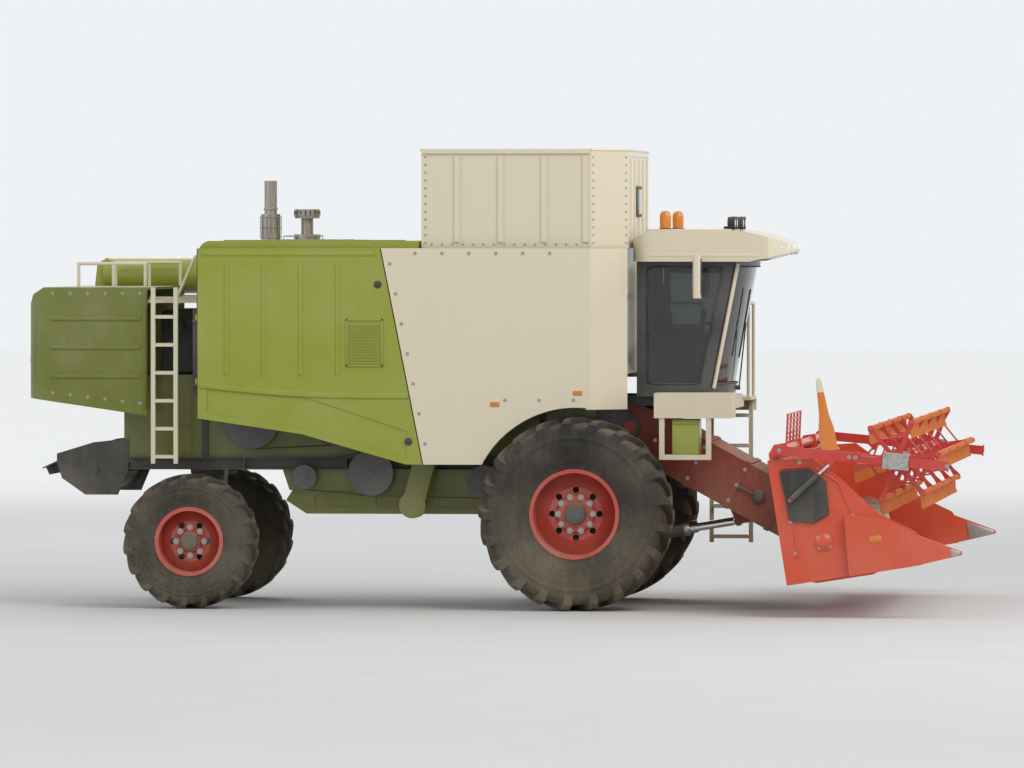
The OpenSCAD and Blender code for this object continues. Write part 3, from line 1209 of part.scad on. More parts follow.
// Reel with its arms, drawn in the frame of the arms: x along the arm from its pivot
arm_turn = atan2(arm_z - reel_z, reel_x - arm_x);
arm_l = norm([arm_z - reel_z, reel_x - arm_x]);
arm_mid_y = cut_half_w + 70;
arm_half_h = 45;
arm_half_w = 25;
slide_out = 300;
reel_base_x = 2060;
reel_base_z = 850;
reel_pin_r = 12;
reel_eye_x = 2500;
reel_eye_z = 1140;
reel_play = 7;
rod_eye_r = 26;
module arm_local() translate([arm_x, 0, arm_z]) rotate([0, arm_turn, 0]) children();

module reel_arms() lifted() color("firebrick") {
    pin_y(arm_x, arm_z, cross_tube_r, -arm_mid_y, arm_mid_y);
    both_sides() {
        difference() {
            arm_local() {
                block([-50, arm_mid_y - arm_half_w, -arm_half_h],
                    [arm_l + slide_out + 190, arm_mid_y + arm_half_w, arm_half_h]);
                block([arm_l + slide_out + 189, arm_mid_y - arm_half_w, -arm_half_h - 12],
                    [arm_l + slide_out + 201, arm_mid_y + arm_half_w, arm_half_h + 12]);
            }
            // Relief over the rod's eye
            pin_y(reel_eye_x, reel_eye_z, rod_eye_r + reel_play + 3, arm_mid_y - 17, arm_mid_y + 17);
        }
        // Ears and pin for the reel lift cylinder's rod eye
        for (s = [-1, 1]) across(arm_mid_y + s * 22 - 4, arm_mid_y + s * 22 + 4) union() {
            polygon([[reel_eye_x - 60, reel_eye_z + 45], [reel_eye_x + 60, reel_eye_z + 30], [reel_eye_x + 26, reel_eye_z],
                [reel_eye_x - 26, reel_eye_z]]);
            translate([reel_eye_x, reel_eye_z]) circle(28);
        }
        pin_y(reel_eye_x, reel_eye_z, reel_pin_r, arm_mid_y - 26, arm_mid_y + 26);
    }
}

reel_cyl_turn = atan2(reel_eye_z - reel_base_z, reel_eye_x - reel_base_x);
reel_cyl_l = norm([reel_eye_z - reel_base_z, reel_eye_x - reel_base_x]);
module reel_cyl_local() translate([reel_base_x, arm_mid_y, reel_base_z]) rotate([0, -reel_cyl_turn, 0]) children();

module reel_barrels() lifted() color(dark) both_sides() reel_cyl_local() difference() {
    union() {
        pin_y(0, 0, 26, -22, 22);
        translate([20, 0, 0]) rotate([0, 90, 0]) cylinder(r = 27, h = reel_cyl_l - 180);
    }
    pin_y(0, 0, reel_pin_r + 0.5, -30, 30);
    translate([40, 0, 0]) rotate([0, 90, 0]) cylinder(r = 14.5, h = reel_cyl_l);
}

module reel_rods() lifted() color("silver") both_sides() reel_cyl_local() difference() {
    union() {
        translate([reel_cyl_l - 400, 0, 0]) rotate([0, 90, 0]) cylinder(r = 14, h = 382);
        pin_y(reel_cyl_l, 0, rod_eye_r, -12, 12);
    }
    pin_y(reel_cyl_l, 0, reel_pin_r + reel_play, -20, 20);
}

module reel_slides() lifted() color("gray") both_sides() arm_local() translate([arm_l, 0, 0]) difference() {
    block([-120, reel_half_w + 15, -arm_half_h - 30], [120, arm_mid_y + arm_half_w + 20, arm_half_h + 30]);
    // The ends run on the arm, and the middle is relieved
    for (way = [[121, seat_gap], [90, run_gap]]) block([-way[0], arm_mid_y - arm_half_w - way[1], -arm_half_h - way[1]],
        [way[0], arm_mid_y + arm_half_w + way[1], arm_half_h + way[1]]);
    pin_y(0, 0, reel_shaft_r + 0.5, reel_half_w, arm_mid_y - arm_half_w);
}
reel_shaft_r = 28;

module reel() lifted() color("firebrick") translate([reel_x, 0, reel_z]) {
    stars = [-reel_half_w + 6, -reel_half_w / 2, 0, reel_half_w / 2, reel_half_w - 6];
    difference() {
        pin_y(0, 0, 60, -reel_half_w, reel_half_w);
        pin_y(0, 0, 52, -reel_half_w + 12, reel_half_w - 12);
    }
    pin_y(0, 0, reel_shaft_r, -arm_mid_y + arm_half_w + run_gap + 5, arm_mid_y - arm_half_w - run_gap - 5);
    for (y = stars) translate([0, y + 6, 0]) rotate([90, 0, 0]) linear_extrude(12) {
        circle(95);
        for (i = [0 : reel_bars - 1]) rotate(i * 360 / reel_bars) {
            translate([40, -22]) square([reel_bar_r - 40, 44]);
            translate([reel_bar_r, 0]) circle(34);
            rotate(180 / reel_bars) translate([reel_bar_r * cos(180 / reel_bars) * 0.62, -reel_bar_r * 0.32])
                square([26, reel_bar_r * 0.64]);
        }
    }
    tines = floor((2 * reel_half_w - 160) / tine_pitch / 2);
    for (i = [0 : reel_bars - 1]) {
        bx = reel_bar_r * cos(i * 360 / reel_bars);
        bz = reel_bar_r * sin(i * 360 / reel_bars);
        pin_y(bx, bz, 19, -reel_half_w, reel_half_w);
        for (j = [-tines : tines]) translate([bx, j * tine_pitch + tine_pitch / 2 * (j < 0 ? 0.4 : -0.4), bz - tine_l])
            cylinder(r = 5, h = tine_l, $fn = 16);
    }
}

front_tyre_left();
front_tyre_right();
front_rim_left();
front_rim_right();
rear_tyre_left();
rear_tyre_right();
rear_rim_left();
rear_rim_right();
knuckle_left();
knuckle_right();
tie_rod();
front_axle();
rear_axle();
main_frame();
threshing_body();
cleaning_box();
chopper_housing();
chopper_rotor();
tailboard();
rear_hitch();
engine();
engine_cover();
exhaust();
grain_tank();
tank_augers();
tank_extension();
front_panels();
cover_right();
cover_left();
rear_hood();
deck_rails();
rear_ladder();
lamps();
cab_frame();
cab_roof();
cab_glass();
cab_door();
door_glass();
cab_seat();
cab_console();
mirrors();
platforms();
front_ladder();
auger_turret();
unloading_tube();
feeder_house();
lift_barrels();
lift_rods();
header_wall();
header_frame();
header_ends();
knife();
intake_auger();
reel_arms();
reel_slides();
reel_barrels();
reel_rods();
reel();
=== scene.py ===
"""Looks of a combine harvester: finishes, tyres, cab trim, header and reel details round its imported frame.

Every size is in metres in the row frame: +X forward, +Y to the driver's left, +Z up, the ground at zero.
"""

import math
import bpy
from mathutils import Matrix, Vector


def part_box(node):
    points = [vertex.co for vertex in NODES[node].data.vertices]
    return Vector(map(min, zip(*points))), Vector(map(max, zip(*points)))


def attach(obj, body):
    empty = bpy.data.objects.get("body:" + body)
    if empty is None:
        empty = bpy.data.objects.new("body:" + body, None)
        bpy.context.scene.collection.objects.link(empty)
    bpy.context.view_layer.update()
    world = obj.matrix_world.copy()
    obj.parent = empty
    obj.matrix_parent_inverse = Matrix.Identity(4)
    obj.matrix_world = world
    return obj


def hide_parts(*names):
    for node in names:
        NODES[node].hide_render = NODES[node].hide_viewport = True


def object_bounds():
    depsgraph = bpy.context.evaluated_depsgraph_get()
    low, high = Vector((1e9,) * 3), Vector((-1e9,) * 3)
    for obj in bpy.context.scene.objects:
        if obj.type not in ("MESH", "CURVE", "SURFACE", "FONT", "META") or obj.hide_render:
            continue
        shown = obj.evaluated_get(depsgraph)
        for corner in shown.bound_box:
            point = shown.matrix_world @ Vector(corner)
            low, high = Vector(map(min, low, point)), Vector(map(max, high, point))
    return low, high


bl_info = {
    "name": "Combine Harvester Looks",
    "version": (1, 0, 0),
    "blender": (4, 5, 0),
    "location": "3D View > Sidebar > Harvester",
    "description": "Dresses the packed harvester with finishes and fine pieces",
    "category": "Object",
}

import bmesh
import bpy
from bpy.props import FloatProperty, FloatVectorProperty, IntProperty, PointerProperty
from mathutils import Matrix, Vector

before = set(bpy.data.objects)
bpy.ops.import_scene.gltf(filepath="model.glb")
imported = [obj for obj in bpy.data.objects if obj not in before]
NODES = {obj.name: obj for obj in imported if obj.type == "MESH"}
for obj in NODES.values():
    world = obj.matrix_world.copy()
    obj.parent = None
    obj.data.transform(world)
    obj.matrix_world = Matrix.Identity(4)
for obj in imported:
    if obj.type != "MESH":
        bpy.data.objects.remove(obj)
CAD_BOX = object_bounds()

TAU = 2 * math.pi
# The front axle in the row frame
AXLE_X = 0.77026
AXLE_Z = 0.93
# The header stands raised by nine degrees about the feeder pivot
HEADER_TURN = Matrix.Rotation(math.radians(-9), 3, "Y")
PIVOT = Vector((0.45 + AXLE_X, 0, 1.75))
LEFT, RIGHT = 1, -1
BOTH = (LEFT, RIGHT)
WORDS = {LEFT: "left", RIGHT: "right"}


# Frame helpers

def place(x, y, z):
    """A point given from the front axle's centre line on the ground, in the row frame."""
    return Vector((x + AXLE_X, y, z))


def at(point):
    """A point in the row frame; plain numbers count from the front axle."""
    return point if isinstance(point, Vector) else place(*point)


def lifted(x, y, z):
    """A point of the lowered header, turned up to the header's rest pose."""
    return PIVOT + HEADER_TURN @ (place(x, y, z) - PIVOT)


def piece_sizes():
    return bpy.context.scene.harvester_sizes


def node_centre(node):
    """Centre of a node's box, which is a wheel's own centre."""
    low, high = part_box(node)
    return (low + high) / 2


# Sizes and colours that a user would change

class HarvesterColours(bpy.types.PropertyGroup):
    """Paint, rubber and dust colours"""

    green: FloatVectorProperty(
        name="Body green", description="Yellow-green body panels",
        subtype="COLOR", size=3, min=0, max=1, default=(0.275, 0.315, 0.012))
    cream: FloatVectorProperty(
        name="Cream", description="Tank, roof, front panels and ladders",
        subtype="COLOR", size=3, min=0, max=1, default=(0.73, 0.655, 0.485))
    header: FloatVectorProperty(
        name="Header red", description="Header sheet metal and intake auger",
        subtype="COLOR", size=3, min=0, max=1, default=(0.66, 0.062, 0.014))
    reel: FloatVectorProperty(
        name="Reel red", description="Reel bars, stars and arms",
        subtype="COLOR", size=3, min=0, max=1, default=(0.56, 0.03, 0.02))
    rim: FloatVectorProperty(
        name="Rim red", description="Wheel discs and rims",
        subtype="COLOR", size=3, min=0, max=1, default=(0.50, 0.035, 0.025))
    dust: FloatVectorProperty(
        name="Dust", description="Straw dust that settles on flat and low surfaces",
        subtype="COLOR", size=3, min=0, max=1, default=(0.50, 0.40, 0.25))
    dust_amount: FloatProperty(
        name="Dust amount", description="How thick the dust lies", subtype="FACTOR",
        min=0, max=1, default=0.55)


class HarvesterSizes(bpy.types.PropertyGroup):
    """Sizes of the fine pieces"""

    bolt: FloatProperty(
        name="Bolt head", description="Radius of a panel bolt's head", unit="LENGTH",
        min=0.004, max=0.03, default=0.010)
    rivet: FloatProperty(
        name="Rivet head", description="Radius of a tank rivet's head", unit="LENGTH",
        min=0.003, max=0.02, default=0.008)
    wheel_bolt: FloatProperty(
        name="Wheel nut", description="Radius of a wheel nut", unit="LENGTH",
        min=0.008, max=0.04, default=0.019)
    front_lugs: IntProperty(
        name="Front tyre lugs", description="Lugs on each side of a front tyre",
        min=12, max=30, default=21)
    rear_lugs: IntProperty(
        name="Rear tyre lugs", description="Lugs on each side of a rear tyre",
        min=12, max=30, default=19)
    tine_pitch: FloatProperty(
        name="Tine pitch", description="Distance between two tines of a reel bar", unit="LENGTH",
        min=0.08, max=0.3, default=0.12)
    seal: FloatProperty(
        name="Door seal", description="Width of the rubber seal round a window", unit="LENGTH",
        min=0.008, max=0.04, default=0.016)


class HarvesterStage(bpy.types.PropertyGroup):
    """Camera, floor and lights"""

    azimuth: FloatProperty(
        name="Azimuth", description="The photograph's viewing angle, from the machine's right side",
        subtype="ANGLE", default=math.radians(6))
    elevation: FloatProperty(
        name="Elevation", description="Height of the view above level", subtype="ANGLE",
        default=math.radians(1.0))
    distance: FloatProperty(
        name="Distance", description="From the camera to the machine", unit="LENGTH",
        min=20, max=300, default=90)
    frame_width: FloatProperty(
        name="Width in view", description="Width that the picture shows at the machine",
        unit="LENGTH", min=5, max=40, default=10.0)
    view_height: FloatProperty(
        name="Height in view", description="Height of the picture's middle above the ground",
        unit="LENGTH", min=0, max=6, default=2.15)


# Node trees

SOCKETS = {"float": "NodeSocketFloat", "int": "NodeSocketInt", "vector": "NodeSocketVector",
           "colour": "NodeSocketColor", "material": "NodeSocketMaterial", "geometry": "NodeSocketGeometry"}


def new_tree(kind, name, inputs, outputs):
    """A node tree with inputs as (name, socket, default) and outputs as (name, socket)."""
    tree = bpy.data.node_groups.new(name, kind)
    for label, socket, *default in inputs:
        made = tree.interface.new_socket(name=label, in_out="INPUT", socket_type=SOCKETS[socket])
        if default:
            made.default_value = default[0]
    for label, socket in outputs:
        tree.interface.new_socket(name=label, in_out="OUTPUT", socket_type=SOCKETS[socket])
    return tree, tree.nodes.new("NodeGroupInput").outputs, tree.nodes.new("NodeGroupOutput")


def shared_tree(name, build):
    """A node tree that is built once and found again by its name."""
    return bpy.data.node_groups.get(name) or build(name)


def connect(tree, socket, value):
    """Links a socket, or sets a plain value on it; a colour gets its alpha."""
    if isinstance(value, bpy.types.NodeSocket):
        tree.links.new(value, socket)
    elif socket.type == "RGBA":
        socket.default_value = (*value[:3], 1)
    else:
        socket.default_value = value


def feed(tree, node, values):
    for key, value in values.items():
        connect(tree, node.inputs[key], value)


def add_node(tree, kind, inputs=None, **settings):
    """A node with its settings, and with sockets or plain values on its inputs."""
    node = tree.nodes.new(kind)
    for key, value in settings.items():
        setattr(node, key, value)
    feed(tree, node, inputs or {})
    return node


def maths(tree, operation, first, second, clamp=False):
    return add_node(tree, "ShaderNodeMath", {0: first, 1: second}, operation=operation,
                    use_clamp=clamp).outputs[0]


def times(tree, first, second, clamp=False):
    return maths(tree, "MULTIPLY", first, second, clamp)


def plus(tree, first, second, clamp=False):
    return maths(tree, "ADD", first, second, clamp)


def noise(tree, vector, scale, detail=4.0, roughness=0.55):
    return add_node(tree, "ShaderNodeTexNoise", {
        "Vector": vector, "Scale": scale, "Detail": detail, "Roughness": roughness}).outputs["Fac"]


def bands(tree, vector, direction, scale, distortion=0.0):
    return add_node(tree, "ShaderNodeTexWave", {
        "Vector": vector, "Scale": scale, "Distortion": distortion}, bands_direction=direction).outputs["Fac"]


def ramp(tree, value, low, high):
    """Runs from 0 at low to 1 at high."""
    return add_node(tree, "ShaderNodeMapRange", {"Value": value, "From Min": low, "From Max": high},
                    interpolation_type="SMOOTHSTEP").outputs["Result"]


def mix_colour(tree, factor, first, second):
    """Blends two colours. A Mix node's sockets share their names, so the enabled ones are taken."""
    node = add_node(tree, "ShaderNodeMix", data_type="RGBA")
    for key, value in (("Factor", factor), ("A", first), ("B", second)):
        connect(tree, next(s for s in node.inputs if s.name == key and s.enabled), value)
    return next(s for s in node.outputs if s.enabled)


def stretched(tree, vector, scale):
    return add_node(tree, "ShaderNodeMapping", {"Vector": vector, "Scale": scale}).outputs["Vector"]


def bump(tree, height, strength, distance):
    return add_node(tree, "ShaderNodeBump", {
        "Height": height, "Strength": strength, "Distance": distance}).outputs["Normal"]


def dust_group(name):
    """Fades a colour, chips it, and lays dust on its low and upward surfaces."""
    tree, given, result = new_tree("ShaderNodeTree", name, [
        ("Vector", "vector"), ("Colour", "colour", (0.5, 0.5, 0.5, 1)),
        ("Dust Colour", "colour", (0.5, 0.4, 0.25, 1)), ("Bare Colour", "colour", (0.2, 0.19, 0.18, 1)),
        ("Dust", "float", 0.5), ("Chips", "float", 0.2), ("Fading", "float", 0.3),
        ("Dust Height", "float", 1.4), ("Roughness", "float", 0.35)],
        [("Colour", "colour"), ("Roughness", "float"), ("Dust Mask", "float"), ("Chip Mask", "float")])
    vector, colour = given["Vector"], given["Colour"]
    height = add_node(tree, "ShaderNodeSeparateXYZ", {0: vector}).outputs["Z"]
    normal = add_node(tree, "ShaderNodeNewGeometry").outputs["Normal"]
    facing_up = add_node(tree, "ShaderNodeSeparateXYZ", {0: normal}).outputs["Z"]
    low = maths(tree, "SUBTRACT", 1.0, maths(tree, "DIVIDE", height, given["Dust Height"]), clamp=True)
    up = ramp(tree, facing_up, 0.35, 1.0)
    broad = ramp(tree, noise(tree, vector, 1.7, 5), 0.32, 0.72)
    fine = ramp(tree, noise(tree, vector, 34, 6, 0.7), 0.3, 0.75)
    runs = ramp(tree, noise(tree, stretched(tree, vector, (9, 9, 0.7)), 1.6, 4), 0.42, 0.7)
    lying = plus(tree, plus(tree, times(tree, low, 0.85), times(tree, up, 0.75)), times(tree, runs, 0.16))
    patchy = plus(tree, times(tree, broad, 0.55), times(tree, fine, 0.45))
    patchy = plus(tree, times(tree, patchy, 0.8), 0.2)
    dust = times(tree, times(tree, lying, patchy), given["Dust"], clamp=True)
    faded = mix_colour(tree, times(tree, broad, given["Fading"]), colour,
                       mix_colour(tree, 0.28, colour, (0.75, 0.72, 0.62)))
    chip = ramp(tree, noise(tree, vector, 21, 8, 0.75), 0.66, 0.70)
    patch = ramp(tree, noise(tree, vector, 2.3, 3), 0.5, 0.62)
    chip = times(tree, times(tree, chip, patch), given["Chips"], clamp=True)
    chipped = mix_colour(tree, chip, faded, given["Bare Colour"])
    rough = plus(tree, given["Roughness"], times(tree, dust, 0.55))
    feed(tree, result, {
        "Colour": mix_colour(tree, dust, chipped, given["Dust Colour"]),
        "Roughness": plus(tree, rough, times(tree, fine, 0.05), clamp=True),
        "Dust Mask": dust, "Chip Mask": chip})
    return tree


def surface_group(name):
    """Orange peel of sprayed paint, or the grain of cast and moulded surfaces, as a normal."""
    tree, given, result = new_tree("ShaderNodeTree", name, [
        ("Vector", "vector"), ("Scale", "float", 300.0), ("Depth", "float", 0.0004),
        ("Dent Depth", "float", 0.002), ("Extra Height", "float", 0.0)], [("Normal", "vector")])
    peel = noise(tree, given["Vector"], given["Scale"], 2)
    dents = noise(tree, given["Vector"], 1.3, 2)
    height = plus(tree, times(tree, peel, given["Depth"]), times(tree, dents, given["Dent Depth"]))
    height = plus(tree, height, given["Extra Height"])
    feed(tree, result, {"Normal": bump(tree, height, 1.0, 1.0)})
    return tree


# Materials

MATERIALS = {}


def start_material(name):
    """A material's tree, its Principled shader and the object's own coordinates."""
    material = bpy.data.materials.new(name)
    material.use_nodes = True
    MATERIALS[name] = material
    tree = material.node_tree
    coords = add_node(tree, "ShaderNodeTexCoord").outputs["Object"]
    return tree, tree.nodes["Principled BSDF"], coords


def dusted(tree, coords, colour, roughness, dust, chips, fading, bare, height):
    """The dust group's outputs over a colour."""
    settings = bpy.context.scene.harvester_colours
    return add_node(tree, "ShaderNodeGroup", {
        "Vector": coords, "Colour": colour, "Dust Colour": settings.dust, "Bare Colour": bare,
        "Dust": settings.dust_amount * dust, "Chips": chips, "Fading": fading, "Dust Height": height,
        "Roughness": roughness}, node_tree=shared_tree("Harvest dust", dust_group)).outputs


def coated(name, colour, roughness=0.3, metallic=0.0, coat=0.0, dust=1.0, chips=0.5, fading=0.3,
           grain=(260, 0.00025), dents=0.0016, bare=(0.16, 0.15, 0.14), height=1.6, specular=0.5):
    """A painted, cast or moulded surface with dust, chips, fading and grain."""
    tree, shader, coords = start_material(name)
    dusty = dusted(tree, coords, colour, roughness, dust, chips, fading, bare, height)
    grainy = add_node(tree, "ShaderNodeGroup", {
        "Vector": coords, "Scale": grain[0], "Depth": grain[1], "Dent Depth": dents,
        "Extra Height": times(tree, dusty["Dust Mask"], 0.0006)},
        node_tree=shared_tree("Surface grain", surface_group)).outputs
    feed(tree, shader, {"Base Color": dusty["Colour"], "Roughness": dusty["Roughness"],
                        "Normal": grainy["Normal"], "Metallic": metallic, "Specular IOR Level": specular})
    if coat:
        clear = maths(tree, "SUBTRACT", 1.0, dusty["Dust Mask"])
        feed(tree, shader, {"Coat Weight": times(tree, clear, coat), "Coat Roughness": 0.08})


def brushed_steel(name, colour, roughness, along, dust=0.5):
    """Bright metal with fine lines along one axis."""
    tree, shader, coords = start_material(name)
    lines = noise(tree, stretched(tree, coords, along), 60, 3)
    shade = mix_colour(tree, ramp(tree, lines, 0.3, 0.7), darker(colour, 0.7), colour)
    dusty = dusted(tree, coords, shade, roughness, dust, 0.25, 0.1, (0.24, 0.11, 0.05), 1.2)
    shine = maths(tree, "SUBTRACT", 1.0, times(tree, dusty["Dust Mask"], 0.9))
    feed(tree, shader, {"Base Color": dusty["Colour"], "Roughness": dusty["Roughness"],
                        "Metallic": shine, "Normal": bump(tree, lines, 0.25, 0.0008)})


def tinted_glass(name, colour, roughness=0.02, weight=0.88):
    """Thin tinted glass with a little dust on it."""
    tree, shader, coords = start_material(name)
    film = ramp(tree, noise(tree, coords, 2.6, 6), 0.35, 0.8)
    dust = bpy.context.scene.harvester_colours.dust
    feed(tree, shader, {"Base Color": mix_colour(tree, times(tree, film, 0.12), colour, dust),
                        "Roughness": plus(tree, times(tree, film, 0.06), roughness),
                        "Transmission Weight": weight, "IOR": 1.45})


def woven_cloth(name, colour, thread, scale=420):
    """Seat cloth with a plain weave and worn lighter patches."""
    tree, shader, coords = start_material(name)
    weave = times(tree, *(bands(tree, coords, way, scale / 4, 0.6) for way in "XZ"))
    worn = ramp(tree, noise(tree, coords, 5, 4), 0.4, 0.75)
    shade = mix_colour(tree, weave, colour, thread)
    feed(tree, shader, {"Base Color": mix_colour(tree, times(tree, worn, 0.25), shade, (0.3, 0.27, 0.22)),
                        "Roughness": 0.9, "Sheen Weight": 0.3, "Normal": bump(tree, weave, 0.5, 0.001)})


def lens(name, colour, ribs=90, glow=0.0):
    """A ribbed lamp lens."""
    tree, shader, coords = start_material(name)
    wave = bands(tree, coords, "Y", ribs)
    feed(tree, shader, {"Base Color": mix_colour(tree, wave, darker(colour, 0.75), colour),
                        "Roughness": 0.12, "Coat Weight": 0.6, "Normal": bump(tree, wave, 0.5, 0.002)})
    if glow:
        feed(tree, shader, {"Emission Color": colour, "Emission Strength": glow})


def darker(colour, share):
    return tuple(c * share for c in colour)


# Mesh builders

def add_box(bm, low, high, bevel=0.0):
    """A box between two corners, with its edges rounded by bevel."""
    low, high = at(low), at(high)
    low, high = Vector(map(min, low, high)), Vector(map(max, low, high))
    made = bmesh.ops.create_cube(bm, size=1.0)["verts"]
    for vertex in made:
        vertex.co = Vector(low[i] if vertex.co[i] < 0 else high[i] for i in range(3))
    if bevel:
        edges = list(dict.fromkeys(edge for vertex in made for edge in vertex.link_edges))
        bmesh.ops.bevel(bm, geom=edges, offset=bevel, segments=2, affect="EDGES", profile=0.5)


def add_prism(bm, outline, start, end, upright=False):
    """An outline of (x, z) points drawn out across, or of (x, y) points drawn out upwards."""
    first, last = ([bm.verts.new(place(a, b, along) if upright else place(a, along, b)) for a, b in outline]
                   for along in (start, end))
    bm.faces.new(first)
    bm.faces.new(last[::-1])
    for corners in zip(first[1:] + first[:1], first, last, last[1:] + last[:1]):
        bm.faces.new(corners)


def axes_round(direction):
    """Two unit vectors square to a direction and to each other."""
    direction = direction.normalized()
    helper = Vector((0, 0, 1)) if abs(direction.z) < 0.9 else Vector((1, 0, 0))
    side = direction.cross(helper).normalized()
    return side, direction.cross(side).normalized()


def add_rings(bm, rings, closed=False, caps=True):
    """Joins rings of points with faces, in order."""
    made = [[bm.verts.new(p) for p in ring] for ring in rings]
    pairs = list(zip(made, made[1:]))
    if closed:
        pairs.append((made[-1], made[0]))
    for a, b in pairs:
        for i in range(len(a)):
            j = (i + 1) % len(a)
            bm.faces.new((a[i], a[j], b[j], b[i]))
    if caps and not closed:
        bm.faces.new(made[0][::-1])
        bm.faces.new(made[-1])


def add_turned(bm, profile, origin, direction, sides=32, closed=False):
    """A turned shape from (distance along, radius) points round a line."""
    origin, direction = at(origin), Vector(direction).normalized()
    side, other = axes_round(direction)
    rings = []
    for along, radius in profile:
        centre = origin + direction * along
        rings.append([centre + (side * math.cos(i * TAU / sides) + other * math.sin(i * TAU / sides)) * radius
                      for i in range(sides)])
    add_rings(bm, rings, closed)


def add_rod(bm, start, end, radius, sides=16):
    start, end = at(start), at(end)
    add_turned(bm, [(0, radius), ((end - start).length, radius)], start, end - start, sides)


def smooth_path(points, steps=6):
    """Points of a smooth curve through the given ones."""
    padded = [2 * points[0] - points[1], *points, 2 * points[-1] - points[-2]]
    out = []
    for a, b, c, d in zip(padded, padded[1:], padded[2:], padded[3:]):
        for step in range(steps):
            t = step / steps
            out.append(0.5 * (2 * b + (c - a) * t + (2 * a - 5 * b + 4 * c - d) * t * t
                              + (3 * b - a - 3 * c + d) * t ** 3))
    return out + [points[-1]]


def add_pipe(bm, points, radius, sides=12, smooth=True):
    """A round pipe or hose along a path."""
    path = [at(p) for p in points]
    if smooth:
        path = smooth_path(path)
    side = axes_round(path[1] - path[0])[0]
    rings = []
    for i, point in enumerate(path):
        ahead = path[min(i + 1, len(path) - 1)] - path[max(i - 1, 0)]
        side = (side - ahead * (side.dot(ahead) / ahead.length_squared)).normalized()
        other = ahead.cross(side).normalized()
        rings.append([point + (side * math.cos(k * TAU / sides) + other * math.sin(k * TAU / sides)) * radius
                      for k in range(sides)])
    add_rings(bm, rings)


def add_belt(bm, first, second, y):
    """A belt round two sheaves given as (x, z, radius), in the plane y."""
    small, large = Vector(first[:2]), Vector(second[:2])
    line = large - small
    tilt = math.atan2(line.y, line.x)
    spread = math.acos((first[2] - second[2]) / line.length)
    steps = 16
    path = []
    for i in range(steps + 1):
        a = tilt - spread + 2 * spread * i / steps
        path.append(large + Vector((math.cos(a), math.sin(a))) * second[2])
    for i in range(steps + 1):
        a = tilt + spread + (TAU - 2 * spread) * i / steps
        path.append(small + Vector((math.cos(a), math.sin(a))) * first[2])
    rings = []
    for i, p in enumerate(path):
        ahead = path[(i + 1) % len(path)] - path[i - 1]
        out = p + Vector((ahead.y, -ahead.x)).normalized() * 0.010
        rings.append([place(p.x, y - 0.012, p.y), place(out.x, y - 0.015, out.y),
                      place(out.x, y + 0.015, out.y), place(p.x, y + 0.012, p.y)])
    add_rings(bm, rings, closed=True)


def add_sheave(bm, x, z, radius, y):
    """A grooved belt pulley in the plane y."""
    groove = radius - 0.014
    add_turned(bm, [(-0.026, 0.03), (-0.026, radius), (-0.02, radius), (-0.008, groove), (0.008, groove),
                    (0.02, radius), (0.026, radius), (0.026, 0.03), (0.010, 0.034), (0.010, radius * 0.7),
                    (-0.010, radius * 0.7), (-0.010, 0.034)], (x, y, z), (0, 1, 0), 40, closed=True)
    hub = [(-0.034, 0.018), (-0.032, 0.031), (0.032, 0.031), (0.034, 0.018)]
    add_turned(bm, hub, (x, y, z), (0, 1, 0), 20)


def add_to_scene(name, data):
    made = bpy.data.objects.new(name, data)
    bpy.context.scene.collection.objects.link(made)
    return made


def loose_piece(name, bm):
    """An object of the mesh, with its faces turned outwards."""
    bmesh.ops.recalc_face_normals(bm, faces=bm.faces)
    mesh = bpy.data.meshes.new(name)
    bm.to_mesh(mesh)
    bm.free()
    return add_to_scene(name, mesh)


def finish_piece(name, bm, material, body, slot=None, replaces=(), angle=35, bevel=0.0):
    """Makes the mesh an object that rides on a body."""
    bmesh.ops.remove_doubles(bm, verts=bm.verts, dist=1e-6)
    made = loose_piece(name, bm)
    if bevel:
        edge = made.modifiers.new("Edges", "BEVEL")
        edge.width = bevel
        edge.segments = 2
        edge.limit_method = "ANGLE"
        edge.angle_limit = math.radians(40)
        bake_modifiers(made)
    return settle_piece(made, material, body, replaces, angle)


def shaped(*shapes, raised=False):
    """A mesh of shapes given as (builder, *its arguments); raised turns it up with the header."""
    bm = bmesh.new()
    for build, *values in shapes:
        build(bm, *values)
    if raised:
        for vertex in bm.verts:
            vertex.co = PIVOT + HEADER_TURN @ (vertex.co - PIVOT)
    return bm


def piece(name, material, body, slot, *shapes, replaces=(), raised=False, **finish):
    """One piece of shapes, as shaped takes them."""
    finish_piece(name, shaped(*shapes, raised=raised), material, body, slot, replaces, **finish)


def circle(count, radius, start=0.0):
    """Points round a circle, as pairs."""
    turns = (start + TAU * i / count for i in range(count))
    return [(radius * math.cos(turn), radius * math.sin(turn)) for turn in turns]


def bake_modifiers(made):
    """Turns the evaluated object into its plain mesh."""
    graph = bpy.context.evaluated_depsgraph_get()
    mesh = bpy.data.meshes.new_from_object(made.evaluated_get(graph), depsgraph=graph)
    made.modifiers.clear()
    made.data = mesh


def settle_piece(made, material, body, replaces=(), angle=35):
    """Gives an object its finish and smooth shading, hangs it on its body and hides the nodes it replaces."""
    made.data.materials.clear()
    made.data.materials.append(MATERIALS[material])
    made.data.shade_smooth()
    made.data.set_sharp_from_angle(angle=math.radians(angle))
    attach(made, body)
    if replaces:
        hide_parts(*replaces)
    return made


# Geometry Nodes trees for what repeats

def repeat_tree(name, inputs):
    """A Geometry Nodes tree that takes and gives geometry, with a material and the named inputs."""
    return new_tree("GeometryNodeTree", name, [("Geometry", "geometry"), *inputs, ("Material", "material")],
                    [("Geometry", "geometry")])


